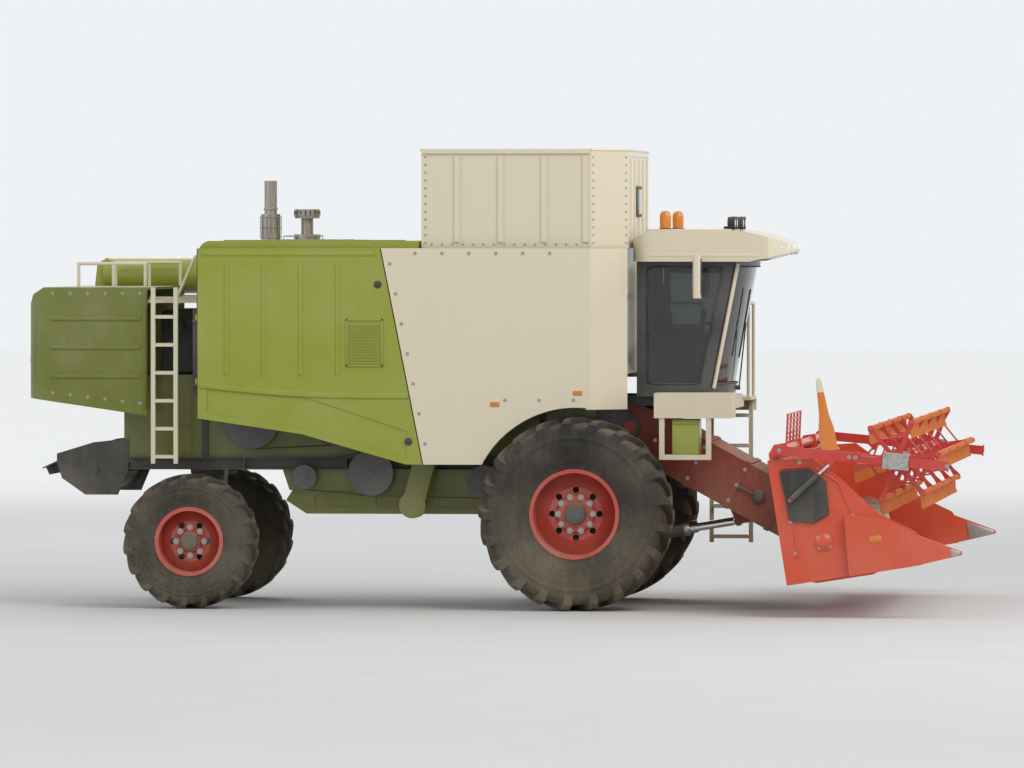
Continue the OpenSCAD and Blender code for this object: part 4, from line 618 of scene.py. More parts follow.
def end_tree(tree, given, result, instances):
    """Realizes the instances and sets their material."""
    real = add_node(tree, "GeometryNodeRealizeInstances", {"Geometry": instances})
    paint = add_node(tree, "GeometryNodeSetMaterial", {
        "Geometry": real.outputs["Geometry"], "Material": given["Material"]})
    feed(tree, result, {"Geometry": paint.outputs["Geometry"]})
    return tree


def set_on_points(tree, points, shape, **turns):
    """The shape set on each point."""
    return add_node(tree, "GeometryNodeInstanceOnPoints", {
        "Points": points, "Instance": shape, **turns}).outputs["Instances"]


def carried(tree, label):
    """A vector that each point carries."""
    return add_node(tree, "GeometryNodeInputNamedAttribute", {"Name": label},
                    data_type="FLOAT_VECTOR").outputs["Attribute"]


def ring_tree(name):
    """Copies the shape round an axis through a centre."""
    tree, given, result = repeat_tree(name, [("Count", "int"), ("Centre", "vector"), ("Axis", "vector")])
    line = add_node(tree, "GeometryNodeMeshLine", {"Count": given["Count"], "Offset": (0, 0, 0)})
    away = add_node(tree, "ShaderNodeVectorMath", {0: given["Centre"], "Scale": -1.0}, operation="SCALE")
    centred = add_node(tree, "GeometryNodeTransform", {
        "Geometry": given["Geometry"], "Translation": away.outputs[0]})
    index = add_node(tree, "GeometryNodeInputIndex").outputs[0]
    angle = times(tree, maths(tree, "DIVIDE", index, given["Count"]), TAU)
    turn = add_node(tree, "FunctionNodeAxisAngleToRotation", {"Axis": given["Axis"], "Angle": angle})
    copies = set_on_points(tree, line.outputs["Mesh"], centred.outputs["Geometry"],
                           Rotation=turn.outputs["Rotation"])
    back = add_node(tree, "GeometryNodeTransform", {"Geometry": copies, "Translation": given["Centre"]})
    return end_tree(tree, given, result, back.outputs["Geometry"])


def row_tree(name):
    """Copies the shape along a line."""
    tree, given, result = repeat_tree(name, [("Count", "int"), ("Step", "vector")])
    line = add_node(tree, "GeometryNodeMeshLine", {"Count": given["Count"], "Offset": given["Step"]})
    return end_tree(tree, given, result, set_on_points(tree, line.outputs["Mesh"], given["Geometry"]))


def bolt_tree(name):
    """Sets a hexagon head with its washer on each point, along the point's aim."""
    tree, given, result = repeat_tree(name, [("Radius", "float"), ("Height", "float"), ("Washer", "float")])
    both = add_node(tree, "GeometryNodeJoinGeometry")
    for sides, radius, height in ((6, given["Radius"], given["Height"]),
                                  (14, given["Washer"], times(tree, given["Height"], 0.3))):
        disc = add_node(tree, "GeometryNodeMeshCylinder", {
            "Vertices": sides, "Radius": radius, "Depth": height})
        tree.links.new(disc.outputs["Mesh"], both.inputs[0])
    align = add_node(tree, "FunctionNodeAlignRotationToVector", {"Vector": carried(tree, "aim")}, axis="Z")
    return end_tree(tree, given, result, set_on_points(
        tree, given["Geometry"], both.outputs["Geometry"], Rotation=align.outputs["Rotation"]))


def bar_tree(name):
    """Sets a bar of its own size on each point."""
    tree, given, result = repeat_tree(name, [])
    cube = add_node(tree, "GeometryNodeMeshCube").outputs["Mesh"]
    return end_tree(tree, given, result, set_on_points(
        tree, given["Geometry"], cube, Scale=carried(tree, "size")))


def apply_tree(made, tree, material, **values):
    """Runs a tree on a piece with its inputs set by identifier, and keeps the plain mesh."""
    modifier = made.modifiers.new(tree.name, "NODES")
    modifier.node_group = tree
    sockets = {item.name: item.identifier for item in tree.interface.items_tree
               if item.item_type == "SOCKET" and item.in_out == "INPUT"}
    modifier[sockets["Material"]] = MATERIALS[material]
    for label, value in values.items():
        modifier[sockets[label.replace("_", " ")]] = value
    bake_modifiers(made)


def ring_piece(name, bm, material, body, centre, axis, count, replaces=()):
    """One shape copied round an axis."""
    made = loose_piece(name, bm)
    apply_tree(made, shared_tree("Ring of copies", ring_tree), material, Count=count, Centre=tuple(centre),
               Axis=tuple(axis))
    return settle_piece(made, material, body, replaces)


def row_piece(name, bm, material, body, step, count, replaces=()):
    """One shape copied along a line."""
    made = loose_piece(name, bm)
    apply_tree(made, shared_tree("Row of copies", row_tree), material, Count=count, Step=tuple(step))
    return settle_piece(made, material, body, replaces)


def point_cloud(name, points, label, vectors):
    """Loose points that carry a vector each."""
    mesh = bpy.data.meshes.new(name)
    mesh.from_pydata([tuple(p) for p in points], [], [])
    attribute = mesh.attributes.new(label, "FLOAT_VECTOR", "POINT")
    attribute.data.foreach_set("vector", [c for v in vectors for c in v])
    return add_to_scene(name, mesh)


def side_heads(side, y, spots, raised=False):
    """Bolt heads at (x, z) spots of a face that looks to a side."""
    return [((lifted if raised else place)(x, y, z), (0, side, 0)) for x, z in spots]


def bolt_piece(name, heads, body, radius=None, height=None, material="zinc"):
    """Bolt heads at (point, outward direction) pairs."""
    radius = radius or piece_sizes().bolt
    made = point_cloud(name, [at(h[0]) for h in heads], "aim", [h[1] for h in heads])
    apply_tree(made, shared_tree("Bolt heads", bolt_tree), material, Radius=radius,
               Height=height or radius * 1.1, Washer=radius * 1.6)
    return settle_piece(made, material, body)


def bar_piece(name, bars, material, body, replaces=()):
    """Bars given as (low corner, high corner) pairs."""
    lows, highs = ([at(b[k]) for b in bars] for k in (0, 1))
    made = point_cloud(name, [(a + b) / 2 for a, b in zip(lows, highs)], "size",
                        [[abs(c) for c in b - a] for a, b in zip(lows, highs)])
    apply_tree(made, shared_tree("Bars", bar_tree), material)
    return settle_piece(made, material, body, replaces)


# Pieces

def make_finishes():
    colours = bpy.context.scene.harvester_colours
    coated("green_paint", colours.green, 0.34, coat=0.45, dust=0.7, chips=0.25, fading=0.2)
    coated("green_shade", darker(colours.green, 0.5), 0.42, coat=0.3, dust=0.8, chips=0.4)
    coated("cream_paint", colours.cream, 0.38, coat=0.45, dust=0.55, chips=0.3, fading=0.2)
    coated("cream_worn", darker(colours.cream, 0.93), 0.5, coat=0.1, dust=0.9, chips=1.0)
    coated("header_paint", colours.header, 0.36, coat=0.3, dust=0.38, chips=0.9, fading=0.15,
           bare=(0.34, 0.33, 0.31))
    # The feeder house: the header red darkened to 0.42 as painted shade, with thicker dust
    coated("feeder_red_painted_shade", darker(colours.header, 0.42), 0.45, dust=1.1, chips=0.8)
    coated("reel_paint", colours.reel, 0.38, coat=0.3, dust=0.35, chips=1.0, fading=0.15,
           bare=(0.4, 0.39, 0.37))
    coated("reel_orange", colours.header, 0.36, coat=0.3, dust=0.3, chips=0.9, fading=0.15,
           bare=(0.4, 0.39, 0.37))
    coated("tine_plastic", (0.70, 0.20, 0.02), 0.45, dust=0.3, chips=0.0, dents=0.0, grain=(900, 0.0002))
    coated("rim_paint", colours.rim, 0.40, coat=0.3, dust=1.0, chips=0.6)
    coated("frame_paint", (0.035, 0.036, 0.038), 0.5, dust=1.15, chips=0.7, height=1.7)
    coated("cab_paint", (0.022, 0.023, 0.025), 0.4, coat=0.2, dust=0.5, chips=0.2)
    coated("cast_iron", (0.13, 0.13, 0.135), 0.62, metallic=0.6, dust=1.1, chips=0.5,
           grain=(120, 0.0006), bare=(0.22, 0.09, 0.04))
    coated("moulded_black", (0.018, 0.018, 0.019), 0.62, dust=0.8, chips=0.0,
           grain=(900, 0.00025), dents=0.0, height=1.2)
    coated("rubber", (0.014, 0.014, 0.015), 0.74, dust=0.75, chips=0.0, fading=0.15,
           grain=(240, 0.0005), dents=0.0, height=1.9, specular=0.35)
    coated("zinc", (0.36, 0.35, 0.32), 0.38, metallic=0.9, dust=0.7, chips=0.8, dents=0.0,
           bare=(0.25, 0.10, 0.04))
    coated("hose_rubber", (0.014, 0.014, 0.015), 0.55, dust=0.8, chips=0.0, grain=(700, 0.0003), dents=0.0)
    coated("silver_print", (0.6, 0.6, 0.6), 0.3, metallic=0.4, dust=0.4, chips=0.0)
    coated("screen_black", (0.01, 0.012, 0.014), 0.12, coat=0.6, dust=0.1, chips=0.0, dents=0.0)
    brushed_steel("rod_steel", (0.78, 0.78, 0.77), 0.18, (1, 1, 1), dust=0.25)
    brushed_steel("worn_steel", (0.52, 0.50, 0.47), 0.36, (1, 0.1, 1), dust=0.7)
    brushed_steel("flight_steel", (0.50, 0.47, 0.43), 0.33, (0.2, 1, 1), dust=0.6)
    brushed_steel("pipe_steel", (0.42, 0.38, 0.34), 0.45, (1, 1, 0.1), dust=0.4)
    tinted_glass("tinted_glass", (0.21, 0.235, 0.23))
    woven_cloth("seat_cloth", (0.02, 0.021, 0.024), (0.075, 0.08, 0.085))
    lens("lamp_clear", (0.86, 0.86, 0.84), glow=0.15)
    lens("lamp_red", (0.55, 0.012, 0.01))
    lens("lamp_amber", (0.85, 0.26, 0.01))
    lens("reflector_red", (0.6, 0.02, 0.015), ribs=240)
    coated("mirror_glass", (0.75, 0.77, 0.78), 0.04, metallic=1.0, dust=0.15, chips=0.0, dents=0.0)
    finishes = {
        "green_paint": ("engine_cover", "cover_right", "cover_left", "unloading_tube"),
        "green_shade": ("threshing_body", "cleaning_box", "rear_hood"),
        "cream_paint": (
            "tank_extension", "front_panels", "cab_roof", "auger_turret", "mirrors", "grain_tank"),
        "cream_worn": ("deck_rails", "rear_ladder", "platforms", "front_ladder"),
        "header_paint": ("header_wall", "header_frame", "header_ends", "intake_auger"),
        # The feeder house wears the header red darkened as painted shade
        "feeder_red_painted_shade": ("feeder_house",),
        "reel_paint": ("reel_arms", "reel"),
        "rim_paint": ("front_rim_left", "front_rim_right", "rear_rim_left", "rear_rim_right"),
        "frame_paint": ("front_axle", "rear_axle", "main_frame", "chopper_housing", "tailboard", "rear_hitch",
                        "lift_barrels", "reel_barrels", "chopper_rotor"),
        "cast_iron": ("engine", "knuckle_left", "knuckle_right"),
        "rubber": ("front_tyre_left", "front_tyre_right", "rear_tyre_left", "rear_tyre_right"),
        "cab_paint": ("cab_frame", "cab_door"),
        "moulded_black": ("cab_console", "lamps"),
        "seat_cloth": ("cab_seat",),
        "tinted_glass": ("cab_glass", "door_glass"),
        "pipe_steel": ("exhaust",),
        "rod_steel": ("lift_rods", "reel_rods"),
        "worn_steel": ("knife", "tie_rod", "reel_slides"),
        "flight_steel": ("tank_augers",),
    }
    for material, nodes in finishes.items():
        for node in nodes:
            mesh = NODES[node].data
            mesh.materials.clear()
            mesh.materials.append(MATERIALS[material])


def fine_tyre(name, node, body, rim_radius, lug_depth, count, bead):
    """A carcass turned from its section, and a ring of swept lugs on each side."""
    low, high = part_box(node)
    centre = (low + high) / 2
    outer = (high.z - low.z) / 2
    half = (high.y - low.y) / 2
    crown = outer - lug_depth
    rise = crown - rim_radius
    # Half of the section from the bead, round the side wall, to the crown: (across, radius) shares
    section = [(bead, 0.0), (bead + 0.03, 0.03), (bead + 0.035, 0.10), (max(0.80, bead + 0.05), 0.16),
               (0.87, 0.26), (0.94, 0.38), (0.975, 0.50), (0.985, 0.58), (0.965, 0.64), (0.985, 0.66),
               (0.985, 0.69), (0.965, 0.71), (0.96, 0.76), (0.93, 0.84), (0.86, 0.91), (0.74, 0.955),
               (0.55, 0.98), (0.28, 0.995), (0.0, 1.0)]
    outside = [(half * a, rim_radius + rise * r) for a, r in section]
    inside = [(half * a * 0.9, rim_radius + (rise - 0.03) * r + 0.004) for a, r in section if r < 0.9]
    profile = [(-a, r) for a, r in outside] + outside[-2::-1] + inside + [(-a, r) for a, r in inside[::-1]]
    piece(name + "_carcass", "rubber", body, "tyre", (add_turned, profile, centre, (0, 1, 0), 96, True),
          replaces=(node,), angle=50)
    scale = outer / 0.93
    steps = 10
    for side in BOTH:
        lug = bmesh.new()
        phase = 0 if side == LEFT else math.pi / count
        rings = []
        for i in range(steps):
            # From just over the middle, sweeping back to the shoulder and down it
            t = i / (steps - 1)
            across = side * half * (-0.06 + 1.02 * t)
            angle = phase - 0.5 * TAU / count * 1.6 * t ** 0.85
            drop = max(0, t - 0.80) / 0.20
            top = outer - 0.004 * t - drop ** 2 * 1.1 * lug_depth
            foot = crown - 0.03 - max(0, t - 0.55) ** 1.6 * rise * 1.15
            wide = scale * (0.030 + 0.012 * t)
            ring = []
            for radius, offset in ((foot, -wide - 0.016), (top - 0.006, -wide), (top, -wide + 0.005),
                                   (top, wide - 0.005), (top - 0.006, wide), (foot, wide + 0.016)):
                around = angle + offset / outer
                ring.append(centre + Vector((radius * math.sin(around), across, radius * math.cos(around))))
            rings.append(ring)
        add_rings(lug, rings)
        ring_piece(f"{name}_lugs_{WORDS[side]}", lug, "rubber", body, centre, (0, 1, 0), count,
                   (node,))


def make_tyres():
    settings = piece_sizes()
    for side in BOTH:
        for axle, rim_radius, lug_depth, count, bead in (("front", 0.41, 0.045, settings.front_lugs, 0.716),
                                                         ("rear", 0.31, 0.035, settings.rear_lugs, 0.762)):
            name = f"{axle}_tyre_{WORDS[side]}"
            fine_tyre(name + "_fine", name, f"{axle}_wheel_{WORDS[side]}", rim_radius, lug_depth, count, bead)


def make_wheels():
    for axle, count, circle_radius, face, hub_out in (("front", 10, 0.168, 0.062, 0.06),
                                                      ("rear", 8, 0.135, 0.047, 0.04)):
        for side in BOTH:
            word = WORDS[side]
            hub = node_centre(f"{axle}_rim_{word}") + Vector((0, side * hub_out, 0))
            body = f"{axle}_wheel_{word}"
            heads = [(hub + Vector((x, side * face, z)), (0, side, 0))
                     for x, z in circle(count, circle_radius)]
            bolt_piece(f"{axle}_wheel_nuts_{word}", heads, body, piece_sizes().wheel_bolt)
            radius = circle_radius * 0.62
            profile = [(0, radius), (0.05, radius), (0.062, radius * 0.93), (0.07, radius * 0.7),
                       (0.074, radius * 0.3), (0.074, 0.004)]
            piece(f"{axle}_hub_cap_{word}", "frame_paint", body, None,
                  (add_turned, profile, hub + Vector((0, side * (face - 0.01), 0)), (0, side, 0), 36))


CAB_MIDDLE = -0.05
CAB_HALF = 0.90
CAB_FLOOR = 2.1103
CAB_LEAN = math.radians(11)
SCREEN_RADIUS = 2.4


def screen_bulge(across):
    """How far the curved windscreen falls back at a distance from the cab's middle."""
    return SCREEN_RADIUS - math.sqrt(SCREEN_RADIUS ** 2 - across ** 2)


def on_screen(across, height, out):
    """A point in front of the leaning windscreen."""
    x = 1.41 + (height - 2.05) * math.tan(CAB_LEAN) - screen_bulge(across) / math.cos(CAB_LEAN)
    return place(x + out, CAB_MIDDLE + across, height)


def window_seal(name, corners, body):
    """A rubber seal round a window's corners."""
    corners = [at(c) for c in corners]
    path = []
    for before, corner, after in zip(corners[-1:] + corners, corners, corners[1:] + corners[:1]):
        back = (before - corner).normalized() * 0.05
        on = (after - corner).normalized() * 0.05
        path += [corner + back, corner + back * 0.3 + on * 0.3, corner + on]
    seal_piece(name, path, body)


def seal_piece(name, path, body):
    piece(name, "moulded_black", body, None,
          (add_pipe, path + path[:1], piece_sizes().seal / 2, 8, False), angle=80)


def make_cab():
    # Roof: moulded gutters, a lid and the air outlet's grille
    gutters = [CAB_MIDDLE + side * (CAB_HALF + 0.108) for side in BOTH]
    piece("roof_mouldings", "cream_paint", "chassis", "trim_cream",
          *((add_box, (0.68, y - 0.006, 3.395), (1.72, y + 0.006, 3.425), 0.004) for y in gutters),
          (add_box, (0.62, CAB_MIDDLE - 0.78, 3.648), (1.44, CAB_MIDDLE + 0.78, 3.664), 0.007))
    bar_piece("roof_intake_slats", [
        ((0.497, CAB_MIDDLE - 0.55, 3.40 + i * 0.024), (0.507, CAB_MIDDLE + 0.55, 3.412 + i * 0.024))
        for i in range(6)], "moulded_black", "chassis")
    lamps = [(1.459, CAB_MIDDLE + y, 3.722) for y in (-0.62, -0.38, 0.38, 0.62)]
    shell = [(-0.064, 0.03), (-0.06, 0.052), (-0.03, 0.062), (0.0, 0.064), (0.012, 0.062), (0.012, 0.05),
             (-0.002, 0.049)]
    glass = [(0.0, 0.05), (0.009, 0.045), (0.013, 0.03), (0.0145, 0.004)]
    for name, material, profile in (("roof_lamp_shells", "moulded_black", shell),
                                    ("roof_lamp_lenses", "lamp_clear", glass)):
        piece(name, material, "chassis", "lamp_lens",
              *((add_turned, profile, p, (1, 0, 0), 28) for p in lamps))
    visor = [(2.022 - screen_bulge(y), CAB_MIDDLE + y, 3.462)
             for y in (-0.72, -0.52, -0.32, 0.32, 0.52, 0.72)]
    piece("visor_lamps", "lamp_clear", "chassis", "lamp_lens",
          *((add_turned, [(0, 0.046), (0.010, 0.05), (0.016, 0.045), (0.019, 0.02), (0.02, 0.003)], p,
             (1, 0, -0.35), 24) for p in visor))
    dome = [(0.0, 0.054), (0.10, 0.056), (0.125, 0.054), (0.15, 0.045), (0.165, 0.028), (0.17, 0.003)]
    piece("beacon_lenses", "lamp_amber", "chassis", "lamp_lens",
          *((add_turned, dome, (0.80, CAB_MIDDLE + y, 3.672), (0, 0, 1), 28) for y in (-0.70, 0.70)))
    # Pale trims up both edges of the windscreen
    edges = [[on_screen(side * 0.865, z, 0.022) + Vector((0, side * 0.007, 0)) for z in (2.13, 3.33)]
             for side in BOTH]
    piece("windscreen_trims", "cream_paint", "chassis", "trim_cream",
          *((add_rod, foot, head, 0.019, 14) for foot, head in edges))
    lean = math.tan(CAB_LEAN)
    for side, low, inset, body in ((RIGHT, 2.17, 0.0, "chassis"), (LEFT, 2.19, 0.063, "door")):
        y = CAB_MIDDLE + side * CAB_HALF
        low, top = low + inset, 3.30 - inset
        rear, front = 0.64 + inset, 1.135 - inset
        window_seal(f"window_seal_{WORDS[side]}", [
            (rear, y, low), (front + (low - 2.05) * lean, y, low),
            (front + (top - 2.05) * lean, y, top), (rear, y, top)], body)
    edge = CAB_HALF - 0.08
    across = [-edge + 2 * edge * i / 12 for i in range(13)]
    seal_piece("windscreen_seal", [on_screen(a, 2.17, 0.002) for a in across]
               + [on_screen(a, 3.30, 0.002) for a in across[::-1]], "chassis")
    foot = on_screen(0.05, 2.12, 0.03)
    piece("wiper", "moulded_black", "chassis", None,
          (add_rod, foot - Vector((0.05, 0, 0)), foot + Vector((0.012, 0, 0)), 0.022),
          (add_rod, foot, on_screen(-0.34, 2.75, 0.03), 0.007, 8),
          (add_rod, on_screen(-0.30, 2.42, 0.018), on_screen(-0.38, 3.08, 0.018), 0.009, 8))
    # Mirror glasses, facing back
    mirrors = [(x, CAB_MIDDLE + side * (CAB_HALF + 0.415)) for x, side in ((1.40, LEFT), (1.16, RIGHT))]
    piece("mirror_glasses", "mirror_glass", "chassis", "trim_cream",
          *((add_box, (x - 0.037, y - 0.078, low), (x - 0.034, y + 0.078, high), 0.001)
            for x, y in mirrors for low, high in ((3.02, 3.30), (3.315, 3.405))))
    piece("mirror_backs", "moulded_black", "chassis", "trim_cream",
          *((add_box, (x + 0.033, y - 0.06, 3.04), (x + 0.040, y + 0.06, 3.38), 0.003) for x, y in mirrors))
    cab_seat()
    cab_controls()
    piece("door_handle", "moulded_black", "door", None,
          (add_box, (1.04, 0.848, 2.56), (1.17, 0.866, 2.585), 0.006),
          (add_turned, [(0, 0.022), (0.018, 0.022), (0.022, 0.016)], (1.02, 0.846, 2.572), (0, 1, 0), 20))


def padded_cushion(name, low, high, tilt=0.0, pivot=None, upright=False):
    """A padded block, crowned on its broad face, with three sewn channels across it."""
    bm = bmesh.new()
    bmesh.ops.create_grid(bm, x_segments=28, y_segments=28, size=0.5)
    low, high = at(low), at(high)
    made = bmesh.ops.extrude_face_region(bm, geom=bm.faces[:])["geom"]
    lower = {g for g in made if isinstance(g, bmesh.types.BMVert)}
    for vertex in bm.verts:
        u, v = vertex.co.x * 2, vertex.co.y * 2
        pull = 1 - 0.03 * (1 - u * u) * abs(v) - 0.03 * (1 - v * v) * abs(u)
        inner = abs(u) < 1 and abs(v) < 1
        round_edge = (1 - abs(u) ** 6) ** 0.5 * (1 - abs(v) ** 6) ** 0.5 if inner else 0
        height = 0.5 * round_edge
        if vertex not in lower:
            groove = min(abs(v - channel) for channel in (-0.5, 0.0, 0.5))
            height += 0.22 * (1 - u * u) * (1 - v * v) - 0.16 * math.exp(-(groove / 0.035) ** 2) * round_edge
        a, b, c = u * 0.5 * pull, v * 0.5 * pull, max(height, 0.02)
        if vertex in lower:
            c = -c
        share = (c, a, b) if upright else (b, a, c)
        vertex.co = [low[i] + (high[i] - low[i]) * (share[i] + 0.5) for i in range(3)]
    if tilt:
        bmesh.ops.rotate(bm, verts=bm.verts, cent=pivot, matrix=Matrix.Rotation(tilt, 3, "Y"))
    finish_piece(name, bm, "seat_cloth", "chassis", "seat_cloth", angle=60)


def cab_seat():
    x, y, floor = 1.0, CAB_MIDDLE, CAB_FLOOR
    padded_cushion("seat_cushion", (x - 0.25, y - 0.25, floor + 0.36), (x + 0.18, y + 0.25, floor + 0.475))
    padded_cushion("seat_back", (x - 0.29, y - 0.235, floor + 0.45), (x - 0.18, y + 0.235, floor + 1.055),
                   math.radians(-10), place(x - 0.235, y, floor + 0.44), upright=True)
    # Arm rests, and the sprung base with its bellows
    profile = [(0, 0.16), (0.03, 0.16)]
    for i in range(6):
        profile += [(0.045 + i * 0.042, 0.145), (0.066 + i * 0.042, 0.175)]
    profile += [(0.31, 0.15), (0.33, 0.22), (0.365, 0.225)]
    rests = [((x - 0.225, x + 0.105), y + side * 0.29, 0.034, (0.56, 0.62), 0.02) for side in BOTH]
    rests += [((x - 0.18, x - 0.14), y + side * 0.27, 0.02, (0.40, 0.57), 0.006) for side in BOTH]
    piece("seat_base_and_rests", "moulded_black", "chassis", "seat_cloth",
          *((add_box, (xs[0], middle - half, floor + zs[0]), (xs[1], middle + half, floor + zs[1]), bevel)
            for xs, middle, half, zs, bevel in rests),
          (add_turned, profile, (x, y, floor), (0, 0, 1), 32), replaces=("cab_seat",))


def cab_controls():
    """Screen face, switches and the drive lever on the right hand console."""
    face = bmesh.new()
    turn = Matrix.Rotation(math.radians(12), 3, "Z")
    corner = place(1.251, CAB_MIDDLE - 0.52, CAB_FLOOR + 0.54)
    add_box(face, Vector((-0.004, 0.012, 0.012)), Vector((0.0, 0.208, 0.178)), 0.001)
    for vertex in face.verts:
        vertex.co = corner + turn @ vertex.co
    finish_piece("console_screen", face, "screen_black", "chassis", "cab_trim")
    base = place(1.12, CAB_MIDDLE - 0.46, CAB_FLOOR + 0.558)
    knob = [(0, 0.014), (0.02, 0.026), (0.07, 0.03), (0.11, 0.027), (0.13, 0.015), (0.135, 0.003)]
    piece("drive_lever", "moulded_black", "chassis", "cab_trim",
          (add_rod, base, base + Vector((0.02, 0, 0.10)), 0.012),
          (add_turned, knob, base + Vector((0.018, 0, 0.09)), (0.15, 0, 1), 20))
    bar_piece("console_switches", [
        ((0.80 + i * 0.05, CAB_MIDDLE - 0.50 + j * 0.035, CAB_FLOOR + 0.599),
         (0.828 + i * 0.05, CAB_MIDDLE - 0.478 + j * 0.035, CAB_FLOOR + 0.607))
        for i in range(5) for j in range(2)], "silver_print", "chassis")


PANEL_Y = 1.5
COVER_REAR = -3.66
SCREW = 0.011


def seam_x(height, gap):
    """X of the slanted seam between the cream panel and the green cover, at a height."""
    return -1.47 - 0.41 * (height - 1.4) / 2.08 - gap


def add_swage(bm, points, side, width, rise):
    """A raised rib with sloping flanks along points of the panel's face."""
    path = [Vector(p) for p in points]
    rings = []
    for i, point in enumerate(path):
        ahead = (path[min(i + 1, len(path) - 1)] - path[max(i - 1, 0)]).normalized()
        across = Vector((-ahead.y, ahead.x))
        edge = [(point + across * off * width, out) for off, out in (
            (-0.5, -0.002), (-0.28, rise), (0.28, rise), (0.5, -0.002))]
        rings.append([place(p.x, side * PANEL_Y + side * out, p.y) for p, out in edge])
    add_rings(bm, rings)


def make_panels():
    for side in BOTH:
        word = WORDS[side]
        cover = f"side_cover_{word}"
        top = 2.95 if side == LEFT else 3.48
        face = side * PANEL_Y

        def out(x, depth, z):
            return x, face + side * depth, z

        # Ribs of the moulded cover: upright ones above the crease, the crease and the top edge
        crease = [(COVER_REAR + 0.02 + t * 2.02, 2.155 - 0.06 * math.sin(t * math.pi) - 0.10 * t * t)
                  for t in (i / 24 for i in range(25))]
        piece(f"cover_ribs_{word}", "green_paint", cover, "panel_green",
              *((add_swage, [(x, 2.26), (x, top - 0.14)], side, 0.05, 0.010)
                for x in (COVER_REAR + 0.28 + i * 0.36 for i in range(4))),
              (add_swage, crease, side, 0.06, 0.012),
              (add_swage, [(x, top - 0.055) for x in (COVER_REAR + 0.05, seam_x(top, 0.06))],
               side, 0.05, 0.008),
              angle=25)
        # Air vent with slats in a frame
        x0, x1, z0, z1 = -2.22, -1.82 if side == LEFT else -1.86, 2.34, 2.80
        piece(f"cover_vent_frame_{word}", "green_paint", cover, "panel_green",
              *((add_box, out(a, -0.004, b), out(c, 0.012, d), 0.003) for a, b, c, d in (
                  (x0, z0, x1, z0 + 0.02), (x0, z1 - 0.02, x1, z1), (x0, z0, x0 + 0.02, z1),
                  (x1 - 0.02, z0, x1, z1))),
              (add_box, out(x0 + 0.01, -0.006, z0 + 0.01), out(x1 - 0.01, 0.001, z1 - 0.01)))
        bar_piece(f"cover_vent_slats_{word}", [
            (out(x0 + 0.02, 0.001, z), out(x1 - 0.02, 0.010, z + 0.011))
            for z in (z0 + 0.03 + i * 0.028 for i in range(int((z1 - z0 - 0.05) / 0.028)))],
            "green_paint", cover)
        latches = [(seam_x(z, 0.10), z) for z in (1.62, top - 0.35)]
        piece(f"cover_latches_{word}", "moulded_black", cover, "panel_green",
              *((add_turned, [(0, 0.038), (0.004, 0.038), (0.008, 0.034), (0.009, 0.004)], out(x, -0.001, z),
                 (0, side, 0), 28) for x, z in latches),
              *((add_box, out(x - 0.026, 0.006, z - 0.009), out(x + 0.026, 0.018, z + 0.009), 0.004)
                for x, z in latches))
        piece(f"cover_edge_seal_{word}", "moulded_black", cover, "panel_green",
              (add_pipe, [out(seam_x(z, 0.006), -0.010, z) for z in (1.42, top - 0.01)], 0.0055, 8, False),
              (add_pipe, [out(COVER_REAR - 0.004, -0.012, z) for z in (1.86, top - 0.01)], 0.0055, 8, False))
        # Screws, reflectors and the wheel arch's edging on the cream panel
        spots = [(seam_x(z, -0.055), z) for z in (1.60 + i * (top - 1.75) / 6 for i in range(7))]
        spots += [(-1.55 + i * 0.26, top - 0.05) for i in range(6)]
        spots += [(-0.02 - i * 0.33, 2.02) for i in range(3)]
        bolt_piece(f"panel_bolts_{word}", side_heads(side, face, spots), "chassis", SCREW)
        piece(f"side_reflectors_{word}", "lamp_amber", "chassis", "trim_cream",
              *((add_box, out(x - 0.045, -0.001, z - 0.022), out(x + 0.045, 0.008, z + 0.022), 0.004)
                for x, z in ((-0.78, 1.98), (0.02, 2.09))))
        radius, first = AXLE_Z + 0.09, math.radians(78)
        last = math.pi - math.asin((1.475 - AXLE_Z) / radius)
        arch = [out(radius * math.cos(a), -0.012, AXLE_Z + radius * math.sin(a))
                for a in (first + (last - first) * i / 32 for i in range(33))]
        piece(f"arch_edging_{word}", "moulded_black", "chassis", "trim_cream",
              (add_pipe, [p for p in arch if p[2] <= 1.925], 0.010, 8, False))


def add_helix(bm, start, length, lead, inner, outer, sheet):
    """A helical flight along X."""
    steps = max(8, int(abs(length / lead) * 24))
    section = ((inner, -sheet), (outer, -sheet / 2), (outer, sheet / 2), (inner, sheet))
    rings = []
    for i in range(steps + 1):
        a = TAU * i * length / steps / lead
        rings.append([start + Vector((length * i / steps + off, radius * math.sin(a), radius * math.cos(a)))
                      for radius, off in section])
    add_rings(bm, rings)


def tank_augers():
    """Two augers with true helical flights along the tank's floor."""
    start, tube = -1.484, 0.035
    length = 0.345 - start
    for side in BOTH:
        y, z = side * 0.41, 2.46
        piece(f"tank_auger_{WORDS[side]}", "worn_steel", "chassis", "steel",
              (add_turned, [(0, 0.004), (0, tube), (length, tube), (length, 0.004)],
               (start, y, z), (1, 0, 0), 20),
              (add_helix, place(start + 0.06, y, z), length - 0.12, 0.205 * side, tube - 0.003, 0.118, 0.006),
              replaces=("tank_augers",), angle=40)


TANK_HALF = 1.4
TANK_REAR = -1.5
TANK_FRONT = 0.47
# Where the tank's slanted front corners start, and how far they come in
TANK_CORNER = 0.14
TANK_CUT = 0.32


